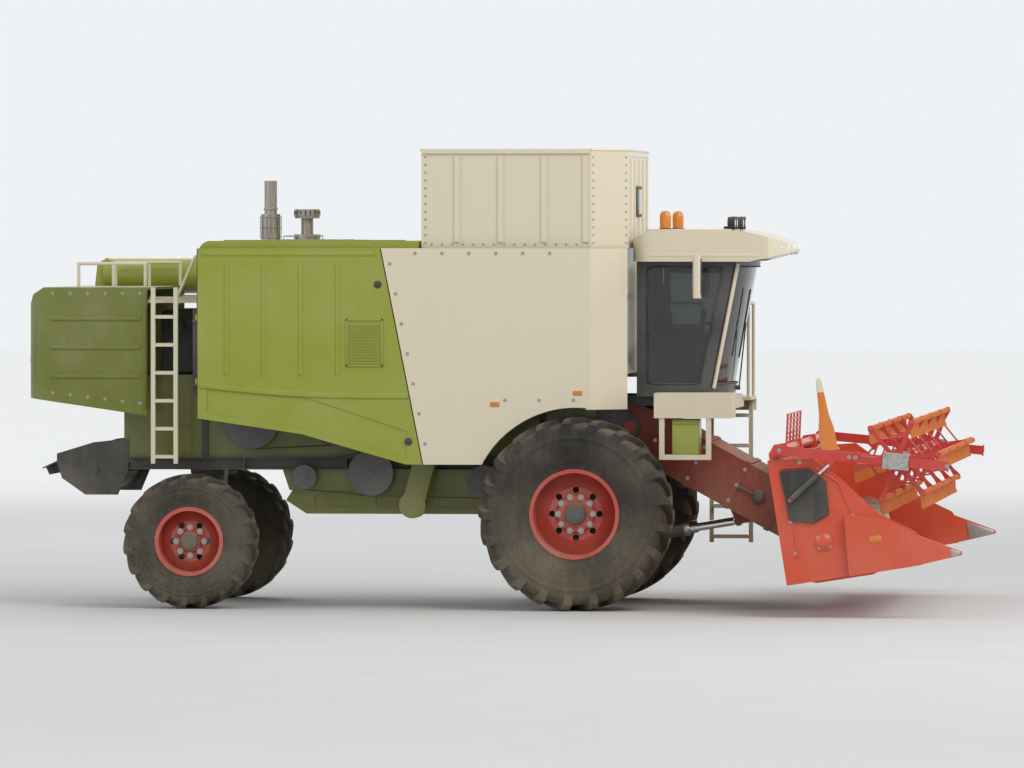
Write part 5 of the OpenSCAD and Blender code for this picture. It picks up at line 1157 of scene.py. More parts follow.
def make_tank():
    half, rear, front, corner, cut = TANK_HALF, TANK_REAR, TANK_FRONT, TANK_CORNER, TANK_CUT
    outline = [(rear, -half), (corner, -half), (front, cut - half)]
    outline += [(x, -y) for x, y in outline[::-1]]
    piece("tank_rim", "cream_paint", "chassis", "body_cream",
          *((add_rod, (x0, y0 * 0.994, 4.424), (x1, y1 * 0.994, 4.424), 0.013, 10)
            for (x0, y0), (x1, y1) in zip(outline, outline[1:] + outline[:1])))
    # Rivets down the corners and along the edges
    rows = [3.53 + i * 0.075 for i in range(12)]
    heads = []
    for side in BOTH:
        spots = [(x, z) for x in (-1.46, 0.10) for z in rows] + [(-1.40 + i * 0.10, 3.515) for i in range(15)]
        slant = Vector((cut, side * (front - corner), 0)).normalized()
        heads += side_heads(side, side * half, spots)
        heads += [((corner + (front - corner) * t, side * (half - cut * t), z), slant)
                  for t in (0.06, 0.94) for z in rows]
    heads += [((front, -1.02 + i * 0.12, z), (1, 0, 0)) for i in range(18) for z in (3.53, 4.36)]
    heads += [((rear, -1.32 + i * 0.12, z), (-1, 0, 0)) for i in range(23) for z in (3.62, 4.36)]
    bolt_piece("tank_rivets", heads, "chassis", piece_sizes().rivet, height=0.003)
    bar_piece("tank_wall_ribs", [
        ((x - low, y - 0.022, foot), (x + high, y + 0.022, 4.34))
        for y in (-0.86 + i * 0.43 for i in range(5))
        for x, low, high, foot in ((front, 0.002, 0.012, 3.60), (rear, 0.012, 0.002, 3.70))],
        "cream_paint", "chassis")
    tank_augers()
    # Inspection window towards the cab
    piece("tank_window_frame", "moulded_black", "chassis", "body_cream",
          (add_box, (front - 0.004, -0.30, 3.78), (front + 0.014, 0.20, 4.08), 0.006))
    piece("tank_window", "tinted_glass", "chassis", "glass_tinted",
          (add_box, (front + 0.012, -0.27, 3.81), (front + 0.017, 0.17, 4.05), 0.002))


DECK_TOP = 3.55


def make_engine_deck():
    top = DECK_TOP
    exhaust_x, exhaust_y = -3.25, 0.8
    intake_x, intake_y = -2.9, 0.9

    piece("deck_hatches", "green_paint", "chassis", "body_green",
          *((add_box, (x0, y0, top - 0.001), (x1, y1, top + 0.010), 0.004)
            for x0, x1, y0, y1 in ((-3.30, -2.30, 0.55, 1.16), (-3.42, -1.70, -1.40, -0.98))))
    bar_piece("radiator_slats", [((x, -0.9, top - 0.004), (x + 0.014, 0.5, top + 0.012))
                                 for x in (-3.12 + i * 0.09 for i in range(9))], "moulded_black", "chassis")
    handle = ((-0.08, 0.004), (-0.08, 0.045), (0.08, 0.045), (0.08, 0.004))
    piece("hatch_handles", "zinc", "chassis", "steel",
          *((add_pipe, [(-2.8 + x, y, top + z) for x, z in handle], 0.007, 10, False) for y in (0.70, -1.06)))
    # Wire guard of the exhaust, clamps round both pipes and slots in the intake's bowl
    posts = [place(exhaust_x + x, exhaust_y + y, top + 0.02) for x, y in circle(10, 0.104)]
    hoop = circle(28, 0.106)
    piece("exhaust_guard", "zinc", "chassis", "steel",
          *((add_rod, p, p + Vector((0, 0, 0.22)), 0.004, 6) for p in posts),
          *((add_pipe, [(exhaust_x + x, exhaust_y + y, top + z) for x, y in hoop + hoop[:1]],
             0.004, 6, False) for z in (0.03, 0.13, 0.23)))
    piece("pipe_clamps", "zinc", "chassis", "steel",
          (add_turned, [(0, 0.066), (0.004, 0.070), (0.026, 0.070), (0.03, 0.066)],
           (exhaust_x, exhaust_y, top + 0.30), (0, 0, 1), 28),
          (add_turned, [(0, 0.126), (0.004, 0.131), (0.02, 0.131), (0.024, 0.126)],
           (intake_x, intake_y, top + 0.24), (0, 0, 1), 32))
    slots = [place(intake_x + x, intake_y + y, top + 0.23) for x, y in circle(16, 0.1265)]
    piece("intake_bowl_slots", "moulded_black", "chassis", "steel",
          *((add_rod, p + Vector((0, 0, 0.012)), p + Vector((0, 0, 0.062)), 0.006, 6) for p in slots))
    bar_piece("walkway_tread", [((x, -1.10, 2.978), (x + 0.012, 1.06, 2.986))
                                for x in (-4.16 + i * 0.036 for i in range(13))], "zinc", "chassis")


HOOD_REAR = -5.34
HOOD_HALF = 1.3


def make_rear():
    rear = HOOD_REAR
    lamp = [(0, 0.054), (0.004, 0.054), (0.010, 0.050), (0.016, 0.034), (0.018, 0.004)]
    for material, shift in (("lamp_red", 0), ("lamp_amber", 0.13)):
        piece(f"tail_{material}", material, "chassis", "lamp_lens",
              *((add_turned, lamp, (rear + 0.0045, side * (HOOD_HALF - 0.46 + shift), 2.2), (-1, 0, 0), 32)
                for side in BOTH))
    disc = [(0, 0.042), (0.006, 0.040), (0.008, 0.004)]
    piece("rear_reflectors", "reflector_red", "chassis", "body_green",
          *((add_turned, disc, (rear + 0.001, side * 1.1, 2.40), (-1, 0, 0), 28) for side in BOTH))
    # Plain plate holder
    piece("plate_holder", "moulded_black", "chassis", "body_green",
          (add_box, (rear - 0.010, -0.20, 2.30), (rear + 0.002, 0.20, 2.42), 0.004))
    # Ribs, louvres and bolts of the hood
    piece("hood_ribs", "green_shade", "chassis", "body_green",
          *((add_box, (-5.12, side * 1.298, z - 0.02), (-4.24, side * 1.311, z + 0.02), 0.006)
            for side in BOTH for z in (2.24, 2.52, 2.80)),
          *((add_box, (-4.215, side * 1.296, 1.92), (-4.190, side * 1.309, 3.06), 0.005) for side in BOTH))
    bar_piece("hood_louvres", [
        ((rear + 0.001, -0.705, 2.516 + i * 0.07), (rear + 0.020, 0.705, 2.530 + i * 0.07))
        for i in range(6)], "green_shade", "chassis")
    spots = [(-5.10 + i * 0.17, z) for i in range(6) for z in (3.04, 2.08 - 0.02 * i)]
    bolt_piece("hood_bolts", [head for side in BOTH for head in side_heads(side, side * HOOD_HALF, spots)],
               "chassis", 0.010)
    # Chopper drive on the left
    y = 0.845
    small, large = (-4.76, 1.33), (-4.20, 1.62)
    piece("chopper_sheaves", "cast_iron", "chassis", "frame_dark",
          (add_sheave, *small, 0.11, y), (add_sheave, *large, 0.15, y))
    piece("chopper_belt", "rubber", "chassis", "frame_dark", (add_belt, (*small, 0.104), (*large, 0.144), y))
    piece("belt_bearing_plate", "frame_paint", "chassis", "frame_dark",
          (add_box, (-4.30, y - 0.052, 1.52), (-4.12, y - 0.034, 1.72), 0.006))
    # Fuel tank that stands on the body below the walkway, held down by two straps
    piece("fuel_tank", "moulded_black", "chassis", "frame_dark",
          (add_box, (-4.13, -0.74, 2.252), (-3.79, 0.74, 2.88), 0.05),
          (add_turned, [(-0.01, 0.055), (0.03, 0.055), (0.03, 0.07), (0.065, 0.07), (0.07, 0.062)],
           (-3.96, -0.74, 2.72), (0, -1, 0), 24))
    strap = [(-4.134, 2.252), (-4.134, 2.836), (-4.086, 2.884),
             (-3.834, 2.884), (-3.786, 2.836), (-3.786, 2.252)]
    piece("fuel_tank_straps", "zinc", "chassis", "steel",
          *((add_prism, strap, y - 0.025, y + 0.025) for y in (-0.45, 0.45)), bevel=0.001)
    bar_piece("rear_ladder_tread", [
        ((-4.088, -1.382 + k * 0.015, z), (-3.912, -1.378 + k * 0.015, z + 0.006))
        for z in (1.479 + i * 0.27 for i in range(6)) for k in range(3)], "zinc", "chassis")


# Header sizes, with the header lowered, measured from the front axle
TROUGH = (2.31, 0.415)
KNIFE_X = 2.85
FLOOR_Z = 0.095
WALL_X = 2.0
WALL_TOP = 1.25
REEL_AT = (3.1, 1.06)
REEL_BAR = 0.39
REEL_HALF = 2.93
REEL_BARS = 6
ARM_PIVOT = (2.035, 1.33)
ARM_Y = 3.07
END_Y = 3.0103


def make_reel():
    x, z = REEL_AT
    # The star's arms, with a shallow point between each two
    outline = []
    root = math.asin(0.024 / 0.095)
    tip = REEL_BAR + 0.032
    arm = ((0.095, -root), (0.30, -0.062), (REEL_BAR, -0.084), (tip, -0.03), (tip, 0.03), (REEL_BAR, 0.084),
           (0.30, 0.062), (0.095, root), (0.10, math.pi / REEL_BARS))
    for a in (TAU * i / REEL_BARS for i in range(REEL_BARS)):
        outline += [(x + radius * math.cos(a + turn), z + radius * math.sin(a + turn))
                    for radius, turn in arm]
    stars = (-REEL_HALF + 0.006, -REEL_HALF / 2, 0.0, REEL_HALF / 2, REEL_HALF - 0.006)
    ties = [Vector((a, 0, b)) * 0.255 for a, b in circle(REEL_BARS, 1)]
    piece("reel_frame_fine", "reel_paint", "reel_rotor", "reel_red",
          (add_rod, (x, -REEL_HALF, z), (x, REEL_HALF, z), 0.06, 32),
          (add_rod, (x, -3.03, z), (x, 3.03, z), 0.0275, 24),
          *((add_prism, outline, y - 0.006, y + 0.006) for y in stars),
          *((add_rod, place(x, y + 0.010, z) + p, place(x, y + 0.010, z) + q, 0.009, 8)
            for y in stars for p, q in zip(ties, ties[1:] + ties[:1])),
          replaces=("reel",), raised=True, angle=40)
    spots = [(x + a, z + b) for a, b in circle(REEL_BARS, REEL_BAR)]
    piece("reel_bars", "reel_orange", "reel_rotor", "reel_red",
          *((add_rod, (bx, -REEL_HALF - 0.012, bz), (bx, REEL_HALF + 0.012, bz), 0.019, 20)
            for bx, bz in spots),
          replaces=("reel",), raised=True, angle=40)
    # Each tine coils two and a quarter times round its bar and then hangs down
    pitch = piece_sizes().tine_pitch
    count = int(2 * (REEL_HALF - 0.09) / pitch) + 1
    y = -pitch * (count - 1) / 2
    coil = 0.0245
    for i, (bx, bz) in enumerate(spots):
        path = []
        for t in (k / 20 for k in range(21)):
            angle = -TAU * 2.25 * (1 - t)
            path.append((bx - coil * math.cos(angle), y - 0.018 + 0.018 * t, bz + coil * math.sin(angle)))
        path += [(bx - coil - 0.002 * k, y, bz - 0.022 * k) for k in range(1, 6)]
        path += [(bx - 0.030, y, bz - 0.135), (bx - 0.022, y, bz - 0.149)]
        tine = shaped((add_pipe, path, 0.0042, 5, False), raised=True)
        row_piece(f"reel_tines_{i + 1}", tine, "tine_plastic", "reel_rotor", (0, pitch, 0), count,
                  ("reel",))
    heads = [head for y in stars[1:4] for radius in (0.075, REEL_BAR + 0.001) for head in side_heads(
        -1, y - 0.006, [(x + a, z + b) for a, b in circle(REEL_BARS, radius)], raised=True)]
    bolt_piece("reel_star_bolts", heads, "reel_rotor", 0.010)


def make_intake():
    x, z = TROUGH
    inner, half, lead = 0.58, 2.985, 0.5
    ends = [(half - 0.004, 0.150), (half, 0.148), (half, 0.045)]
    weld = [(-0.006, 0.149), (-0.003, 0.1525), (0.003, 0.1525), (0.006, 0.149)]
    piece("intake_drum", "header_paint", "header_auger", "header_red",
          (add_turned, [(-a, r) for a, r in ends[::-1]] + ends, (x, 0, z), (0, 1, 0), 48),
          (add_rod, (x, -half - 0.012, z), (x, half + 0.012, z), 0.040, 24),
          *((add_turned, weld, (x, y, z), (0, 1, 0), 48) for y in (-2.2, -1.4, -0.58, 0.58, 1.4, 2.2)),
          replaces=("intake_auger",), raised=True, angle=30)
    length = half - inner
    steps = int(length / lead * 40)
    section = ((0.147, -0.0045), (0.262, -0.0025), (0.268, -0.0015),
               (0.268, 0.0015), (0.262, 0.0025), (0.147, 0.0045))
    for side in BOTH:
        rings = []
        for t in (i / steps for i in range(steps + 1)):
            y, a = side * (inner + length * t), TAU * length * t / lead
            rings.append([place(x + radius * math.cos(a), y + off, z + radius * math.sin(a))
                          for radius, off in section])
        piece(f"intake_flight_{WORDS[side]}", "flight_steel", "header_auger", "header_red",
              (add_rings, rings), replaces=("intake_auger",), raised=True, angle=60)
    # Fingers that stand out of bushes in the drum, in front of the feeder's mouth
    fingers = []
    for i in range(12):
        a = math.radians(i * 137.5)
        base = (x, -inner + 0.06 + i * (2 * inner - 0.12) / 11, z)
        for profile, sides in (([(0.148, 0.026), (0.156, 0.024), (0.160, 0.014)], 16),
                               ([(0.15, 0.0085), (0.255, 0.0085), (0.265, 0.006), (0.268, 0.002)], 12)):
            fingers.append((add_turned, profile, base, (math.cos(a), 0, math.sin(a)), sides))
    piece("intake_fingers", "worn_steel", "header_auger", "header_red", *fingers,
          replaces=("intake_auger",), raised=True)


def make_knife():
    pitch, count = 0.0762, 77
    first = -pitch * (count - 1) / 2
    z = FLOOR_Z - 0.016
    lower = [(0.0, -0.014), (0.045, -0.012), (0.092, -0.0065), (0.112, -0.0022)]
    upper = [(0.030, -0.011), (0.070, -0.003)]
    guard = shaped(
        *((add_prism, [(KNIFE_X + a, first + b) for a, b in half + [(a, -b) for a, b in half[::-1]]],
           z + low, z + high, True) for half, low, high in ((lower, 0, 0.0135), (upper, 0.021, 0.026))),
        # The nose that joins both halves, and the foot
        (add_turned, [(0.0, 0.003), (0.006, 0.011), (0.045, 0.0085), (0.058, 0.004), (0.060, 0.001)],
         (KNIFE_X + 0.060, first, z + 0.010), (1, 0, 0), 12),
        (add_box, (KNIFE_X - 0.028, first - 0.030, z + 0.001), (KNIFE_X + 0.004, first + 0.030, z + 0.010),
         0.003),
        raised=True)
    row_piece("knife_guards", guard, "cast_iron", "header", (0, pitch, 0), count, ("knife",))
    # A section with nine teeth cut into each slanted edge, and its two rivets
    half, teeth, middle = pitch / 2 - 0.001, 9, first + pitch / 2
    edge = [(0.0, half)]
    for k in range(2 * teeth + 1):
        t, notch = k / 2 / teeth, k % 2
        edge.append((0.02 + 0.056 * t - 0.001 * notch, half - (half - 0.007) * t - 0.0022 * notch))
    outline = edge + [(a, -b) for a, b in edge[::-1]]
    section = shaped(
        (add_prism, [(KNIFE_X + a, middle + b) for a, b in outline[-1:] + outline[:-1]],
         z + 0.0155, z + 0.019, True),
        *((add_turned, [(0, 0.006), (0.003, 0.005), (0.0038, 0.001)], (KNIFE_X + 0.010, middle + b, z + 0.019),
           (0, 0, 1), 10) for b in (-0.016, 0.016)), raised=True)
    row_piece("knife_sections", section, "worn_steel", "header", (0, pitch, 0), count - 1,
              ("knife",))
    middle = first + pitch * 2
    clip = shaped((add_prism, [(KNIFE_X + a, z + b) for a, b in (
        (-0.030, 0.016), (-0.030, 0.022), (-0.004, 0.026), (0.030, 0.0245), (0.046, 0.0215), (0.030, 0.0200),
        (0.0, 0.0200))], middle - 0.017, middle + 0.017), raised=True)
    row_piece("knife_clips", clip, "cast_iron", "header", (0, pitch * 4, 0), 19, ("knife",))
    piece("knife_back", "worn_steel", "header", "cutter_steel",
          (add_box, (KNIFE_X + 0.001, -2.985, z + 0.0145), (KNIFE_X + 0.023, 2.985, z + 0.0205), 0.001),
          (add_box, (KNIFE_X - 0.030, -2.998, z), (KNIFE_X + 0.002, 2.998, z + 0.012), 0.002),
          replaces=("knife",), raised=True)
    up = HEADER_TURN @ Vector((0, 0, 1))
    bolt_piece("guard_bolts", [(lifted(KNIFE_X - 0.014, first + pitch * i, z + 0.012), up)
                               for i in range(count)],
               "header", 0.007)


def header_drives():
    """Knife gearbox and chain case on the left end, with a guard on the right."""
    case = [(2.18, 0.40), (2.20, 0.33), (2.31, 0.28), (2.60, 0.22), (2.72, 0.20), (2.78, 0.23), (2.78, 0.33),
            (2.70, 0.38), (2.44, 0.46), (2.40, 0.52), (2.22, 0.52)]
    shield = [(2.00, 1.14), (2.02, 0.66), (2.24, 0.60), (2.40, 0.66), (2.42, 0.98), (2.28, 1.12)]
    piece("knife_drive_case", "frame_paint", "header", "header_red", (add_prism, case, 3.0465, 3.0825),
          raised=True, bevel=0.010)
    piece("auger_drive_shield", "moulded_black", "header", "header_red",
          (add_prism, shield, -3.0405, -3.0125), raised=True, bevel=0.012)


def header_hoses():
    """Hydraulic hoses along the header's upper beam, each clipped down."""
    piece("header_hoses", "hose_rubber", "header", "header_red",
          *((add_pipe, [lifted(x, y, WALL_TOP + 0.012) for y in (
              -2.78, -2.2, -1.6, -1.05, -0.6, 0.0, 0.6, 1.05, 1.6, 2.2, 2.78)], 0.0095, 8, False)
            for x in (WALL_X - 0.035, WALL_X - 0.061)))
    piece("hose_clips", "moulded_black", "header", "header_red",
          *((add_box, (WALL_X - 0.074, y - 0.012, WALL_TOP - 0.002),
             (WALL_X - 0.024, y + 0.012, WALL_TOP + 0.0225), 0.003)
            for y in (-2.66 + i * 0.38 for i in range(15))), raised=True)


def reel_arm_trim():
    """Bolts and scale strips on the reel arms, and bolts on their slides."""
    slope = math.atan2(ARM_PIVOT[1] - REEL_AT[1], REEL_AT[0] - ARM_PIVOT[0])

    def along(distance, height):
        return (ARM_PIVOT[0] + distance * math.cos(slope) + height * math.sin(slope),
                ARM_PIVOT[1] - distance * math.sin(slope) + height * math.cos(slope))

    width_marker(along)
    face = ARM_Y + 0.025
    spots = [ARM_PIVOT] + [along(d, 0.0) for d in (0.66, 0.72, 1.585)]
    bolt_piece("reel_arm_bolts", [h for side in BOTH
                                  for h in side_heads(side, side * face, spots, raised=True)],
               "reel_frame", 0.013)
    marks = [along(0.78 + i * 0.016, 0.030) for i in range(9)]
    piece("reel_scale", "silver_print", "reel_frame", "reel_red",
          *((add_box, (x - 0.0015, side * face, z - 0.012), (x + 0.0015, side * (face + 0.002), z))
            for side in BOTH for x, z in marks), raised=True)
    spots = [(REEL_AT[0] + dx * math.cos(slope), REEL_AT[1] - dx * math.sin(slope) + dz)
             for dx in (-0.09, 0.09) for dz in (-0.05, 0.05)]
    bolt_piece("reel_slide_bolts", [h for side in BOTH
                                    for h in side_heads(side, side * 3.115, spots, raised=True)],
               "reel_carriages", SCREW)


def width_marker(along):
    """The upright width marker with a pale tip on the right reel arm."""
    x, z = along(0.47, 0.045)
    foot = place(x, RIGHT * ARM_Y, z)
    corners = ((-1, -0.6), (-0.8, -1), (0.8, -1), (1, -0.6), (1, 0.6), (0.8, 1), (-0.8, 1), (-1, 0.6))
    # Levels of each part: height, half length and half thickness
    for name, material, slot, levels in (
            ("width_marker", "tine_plastic", "reel_red", (
                (-0.004, 0.095, 0.022), (0.016, 0.095, 0.022), (0.018, 0.080, 0.014), (0.20, 0.074, 0.013),
                (0.34, 0.046, 0.011), (0.56, 0.032, 0.009))),
            ("width_marker_tip", "cream_paint", "trim_cream", (
                (0.552, 0.036, 0.012), (0.58, 0.035, 0.012), (0.66, 0.028, 0.011), (0.69, 0.012, 0.006)))):
        piece(name, material, "reel_frame", slot,
              (add_rings, [[foot + Vector((wide * a, thick * b, height)) for a, b in corners]
                           for height, wide, thick in levels]), raised=True)


def make_header():
    uprights = [y for y in (-2.76 + i * 0.46 for i in range(13)) if abs(y) >= 0.72]
    piece("header_wall_ribs", "header_paint", "header", "header_red",
          *((add_box, (WALL_X + 0.009, y - 0.03, 0.80), (WALL_X + 0.018, y + 0.03, 1.20), 0.004)
            for y in uprights),
          *((add_box, (WALL_X + 0.009, side * 0.72, 0.76), (WALL_X + 0.02, side * 2.97, 0.80), 0.004)
            for side in BOTH),
          # Stripper bars along the trough's rear edge
          *((add_box, (WALL_X + 0.012, side * 0.62, 0.60), (WALL_X + 0.026, side * 2.99, 0.635), 0.003)
            for side in BOTH), raised=True)
    # End plates with swages, the auger's bearing flanges and bolts
    swages = (((2.02, 1.16), (2.32, 1.13)), ((2.32, 1.13), (2.53, 0.95)), ((2.53, 0.95), (2.60, 0.68)),
              ((2.05, 0.30), (2.05, 1.10)))
    flange = [(-0.004, 0.085), (0.010, 0.085), (0.014, 0.075), (0.030, 0.055), (0.036, 0.045), (0.036, 0.01)]
    x, z = TROUGH
    piece("end_plate_ribs", "header_paint", "header", "header_red",
          *((add_rod, (x0, side * END_Y, z0), (x1, side * END_Y, z1), 0.012, 8)
            for side in BOTH for (x0, z0), (x1, z1) in swages),
          *((add_turned, flange, (x, side * END_Y, z), (0, side, 0), 32) for side in BOTH), raised=True)
    nose = [(3.30, 0.085), (3.535, 0.090), (3.566, 0.103), (3.566, 0.128), (3.535, 0.146), (3.30, 0.262)]
    piece("divider_shoes", "worn_steel", "header", "cutter_steel",
          *((add_prism, nose, *sorted((side * 2.9985, side * 3.046))) for side in BOTH),
          raised=True, bevel=0.008)
    piece("header_markers", "lamp_amber", "header", "header_red",
          *((add_box, (2.74, side * 3.0863, 0.34), (2.86, side * 3.0923, 0.40), 0.003) for side in BOTH),
          raised=True)
    ring = [(x + a, z + b) for a, b in circle(4, 0.068, math.pi / 4)]
    edge = ((2.03, 0.35), (2.03, 0.65), (2.03, 0.95), (2.20, 1.19), (2.62, 0.62), (2.62, 0.35))
    bolt_piece("end_plate_bolts", [
        head for side in BOTH for out, spots in ((END_Y + 0.013, ring), (END_Y, edge))
        for head in side_heads(side, side * out, spots, raised=True)], "header", 0.012)
    header_drives()
    header_hoses()
    reel_arm_trim()


FEEDER_SLOPE = math.atan2(1.75 - 0.56, 2.0 - 0.45)
CYLINDER_TURN = math.radians(9.389)
CYLINDER_LENGTH = 1.3057


def feeder_point(along, y, height):
    """A point on the feeder house, by its distance from the pivot down the chain and up from its middle."""
    c, s = math.cos(FEEDER_SLOPE), math.sin(FEEDER_SLOPE)
    return lifted(0.45 + along * c + height * s, y, 1.75 - along * s + height * c)


def make_feeder():
    corners = [feeder_point(a, y, 0.2415)
               for a, y in ((0.34, -0.36), (0.34, 0.36), (0.66, 0.36), (0.66, -0.36))]
    lift = feeder_point(0, 0, 0.25) - feeder_point(0, 0, 0.2415)
    piece("feeder_hatch", "feeder_red_painted_shade", "header", "feeder_red",
          (add_rings, [corners, [p + lift for p in corners]]), bevel=0.003)
    heads = [(feeder_point(a, side * 0.652, h), (0, side, 0))
             for side in BOTH for a in (0.275, 0.725, 1.175) for h in (-0.17, 0.0, 0.17)]
    heads += [(feeder_point(a, y, 0.25), lift.normalized()) for a in (0.37, 0.63) for y in (-0.33, 0.0, 0.33)]
    bolt_piece("feeder_bolts", heads, "header", 0.012)
    # Chain tensioners and the lower drum's bearing on each side
    cap = [(0, 0.07), (0.012, 0.07), (0.016, 0.062), (0.030, 0.045), (0.034, 0.036), (0.034, 0.006)]
    fittings = []
    for side in BOTH:
        fittings += [(add_turned, cap, feeder_point(1.42, side * 0.64, 0.0), (0, side, 0), 28)]
        fittings += [(add_rod, feeder_point(a, side * b, 0.0), feeder_point(c, side * d, 0.0), radius, sides)
                     for a, b, c, d, radius, sides in ((1.22, 0.666, 1.36, 0.666, 0.010, 10),
                                                       (1.21, 0.652, 1.21, 0.680, 0.018, 12))]
    piece("feeder_tensioners", "cast_iron", "header", "feeder_red", *fittings)
    # Two pairs of hoses from the frame side down to the header
    path = ((0.12, 0.668, 0.02), (0.30, 0.672, 0), (0.55, 0.672, -0.004), (0.85, 0.672, 0.004),
            (1.12, 0.672, 0), (1.30, 0.676, 0.01), (1.46, 0.672, 0.05), (1.54, 0.660, 0.10))
    piece("feeder_hoses", "hose_rubber", "header", "feeder_red",
          *((add_pipe, [feeder_point(a, y, 0.10 - k * 0.024 + h) for a, y, h in path], 0.0095, 8)
            for k in range(4)))
    end = feeder_point(1.50, 0.645, 0.14)
    piece("hose_coupler", "zinc", "header", "feeder_red",
          (add_box, end - Vector((0.05, 0.004, 0.05)), end + Vector((0.05, 0.045, 0.05)), 0.008))
    # Gland nuts and grease points of the lift cylinders
    ahead = Vector((math.cos(CYLINDER_TURN), 0, math.sin(CYLINDER_TURN)))
    nut = [(-0.05, 0.0565), (-0.05, 0.062), (-0.006, 0.062), (0.0, 0.058), (0.004, 0.036)]
    bases = [place(0.2, y, 0.62) for y in (-0.47, 0.47)]
    piece("lift_cylinder_glands", "zinc", "lift_cylinders", "steel",
          *((add_turned, nut, base + ahead * (CYLINDER_LENGTH - 0.484), ahead, 24) for base in bases),
          *((add_rod, point + Vector((0, 0, 0.05)), point + Vector((0, 0, 0.085)), 0.014, 10)
            for point in (base + ahead * 0.13 for base in bases)))


def make_undercarriage():
    heads = []
    for side in BOTH:
        heads += side_heads(-side, side * 1.1052, [(x, AXLE_Z + z) for x, z in circle(12, 0.215)])
        heads += side_heads(side, side * 0.82, [(x, z) for x in (-0.12, 0.12) for z in (0.80, 1.10, 1.25)])
    bolt_piece("axle_bolts", heads, "chassis", 0.014)
    # Drive sheaves (x, z, radius) and belts on the body's sides, the upper ones behind the side covers
    sheaves, belts = [], []
    for side, wheels in ((RIGHT, ((-0.95, 1.22, 0.16), (-2.05, 1.30, 0.22), (-2.70, 1.26, 0.12))),
                         (LEFT, ((-1.25, 1.26, 0.18), (-2.35, 1.22, 0.14))),
                         (RIGHT, ((-1.95, 1.93, 0.10), (-2.42, 1.74, 0.17), (-3.22, 1.80, 0.27))),
                         (LEFT, ((-1.93, 1.95, 0.09), (-2.36, 1.72, 0.22), (-3.10, 1.84, 0.19)))):
        y = side * 0.90
        sheaves += [(add_sheave, x, z, radius, y) for x, z, radius in wheels]
        sheaves += [(add_rod, (x, side * 0.722, z), (x, side * 0.93, z), 0.024, 16) for x, z, _ in wheels]
        belts += [(add_belt, (x0, z0, r0 - 0.006), (x1, z1, r1 - 0.006), y)
                  for (x0, z0, r0), (x1, z1, r1) in zip(wheels, wheels[1:])]
    piece("drive_sheaves", "cast_iron", "chassis", "frame_dark", *sheaves)
    piece("drive_belts", "hose_rubber", "chassis", "frame_dark", *belts)
    # Grain elevator up the right side and tailings elevator up the left, in sheet metal cases
    cases = []
    for side, x0, x1 in ((RIGHT, -1.62, -1.20), (LEFT, -1.90, -1.60)):
        low, high = sorted((side * 0.935, side * 1.13))
        outline = [(x0 - 0.11, 0.98), (x0 + 0.11, 0.98), (x1 + 0.11, 2.60), (x1 - 0.11, 2.60)]
        cases += [(add_prism, outline, low, high),
                  (add_turned, [(-0.10, 0.13), (0.10, 0.13)], (x0, (low + high) / 2, 1.0), (0, 1, 0), 28)]
    piece("grain_elevators", "green_shade", "chassis", "body_green", *cases, bevel=0.008)
    # Brake and steering hoses, clipped along the rear axle
    path = ((-0.86, 0.80), (-0.6, 0.752), (-0.2, 0.745), (0.2, 0.745), (0.6, 0.752), (0.86, 0.80))
    piece("axle_hoses", "hose_rubber", "chassis", "frame_dark",
          *((add_pipe, [(x, y, z) for y, z in path], 0.009, 8) for x in (-3.64, -3.62)))
    # Treads of the front ladder and the driver's platform
    bar_piece("ladder_tread", [
        ((1.09, y, z), (1.42, y + 0.006, z + 0.007))
        for z in (0.629 + i * 0.3 for i in range(5)) for y in (1.475 + k * 0.022 for k in range(4))],
        "zinc", "chassis")
    bar_piece("platform_tread", [((x, 0.90, 2.0095), (x + 0.018, 1.55, 2.015))
                                 for x in (0.54 + i * 0.07 for i in range(13))], "zinc", "chassis")
    piece("ladder_grips", "cream_worn", "chassis", "trim_cream",
          *((add_pipe, [(x, 1.575, 1.20), (x, 1.600, 1.24), (x, 1.600, 1.90), (x, 1.578, 1.96)], 0.012, 10)
            for x in (1.06, 1.45)))
    # Tool box in the right fascia
    piece("tool_box", "green_paint", "chassis", "body_green",
          (add_box, (0.92, -1.40, 1.50), (1.18, -1.10, 1.84), 0.012),
          (add_box, (0.935, -1.408, 1.79), (1.165, -1.398, 1.82), 0.003))


# Stage

def seen_rays(tree):
    """1 for a ray from the camera, from gloss or through glass."""
    path = add_node(tree, "ShaderNodeLightPath").outputs
    rays = maths(tree, "MAXIMUM", path["Is Camera Ray"], path["Is Glossy Ray"])
    return maths(tree, "MAXIMUM", rays, path["Is Transmission Ray"])


def stand_and_aim(made, location, away):
    """Sets a lamp or camera down, looking against a direction."""
    made.location = location
    made.rotation_euler = (-away).to_track_quat("-Z", "Y").to_euler()


def stage_floor():
    """A wide pale floor that keeps the machine's shadow, and pales into the backdrop far away."""
    bm = bmesh.new()
    bmesh.ops.create_grid(bm, x_segments=1, y_segments=1, size=400)
    mesh = bpy.data.meshes.new("floor")
    bm.to_mesh(mesh)
    bm.free()
    tree, shader, coords = start_material("pale_floor")
    shade = ramp(tree, noise(tree, coords, 0.9, 5), 0.3, 0.7)
    reach = add_node(tree, "ShaderNodeVectorMath", {0: coords}, operation="LENGTH").outputs["Value"]
    far = times(tree, ramp(tree, reach, 9, 45), seen_rays(tree))
    feed(tree, shader, {"Base Color": mix_colour(tree, shade, (0.60, 0.60, 0.595), (0.62, 0.62, 0.615)),
                        "Roughness": 0.9, "Emission Strength": 1.0,
                        "Emission Color": mix_colour(tree, far, (0, 0, 0), (0.46, 0.47, 0.48))})
    mesh.materials.append(MATERIALS["pale_floor"])
    add_to_scene("floor", mesh)


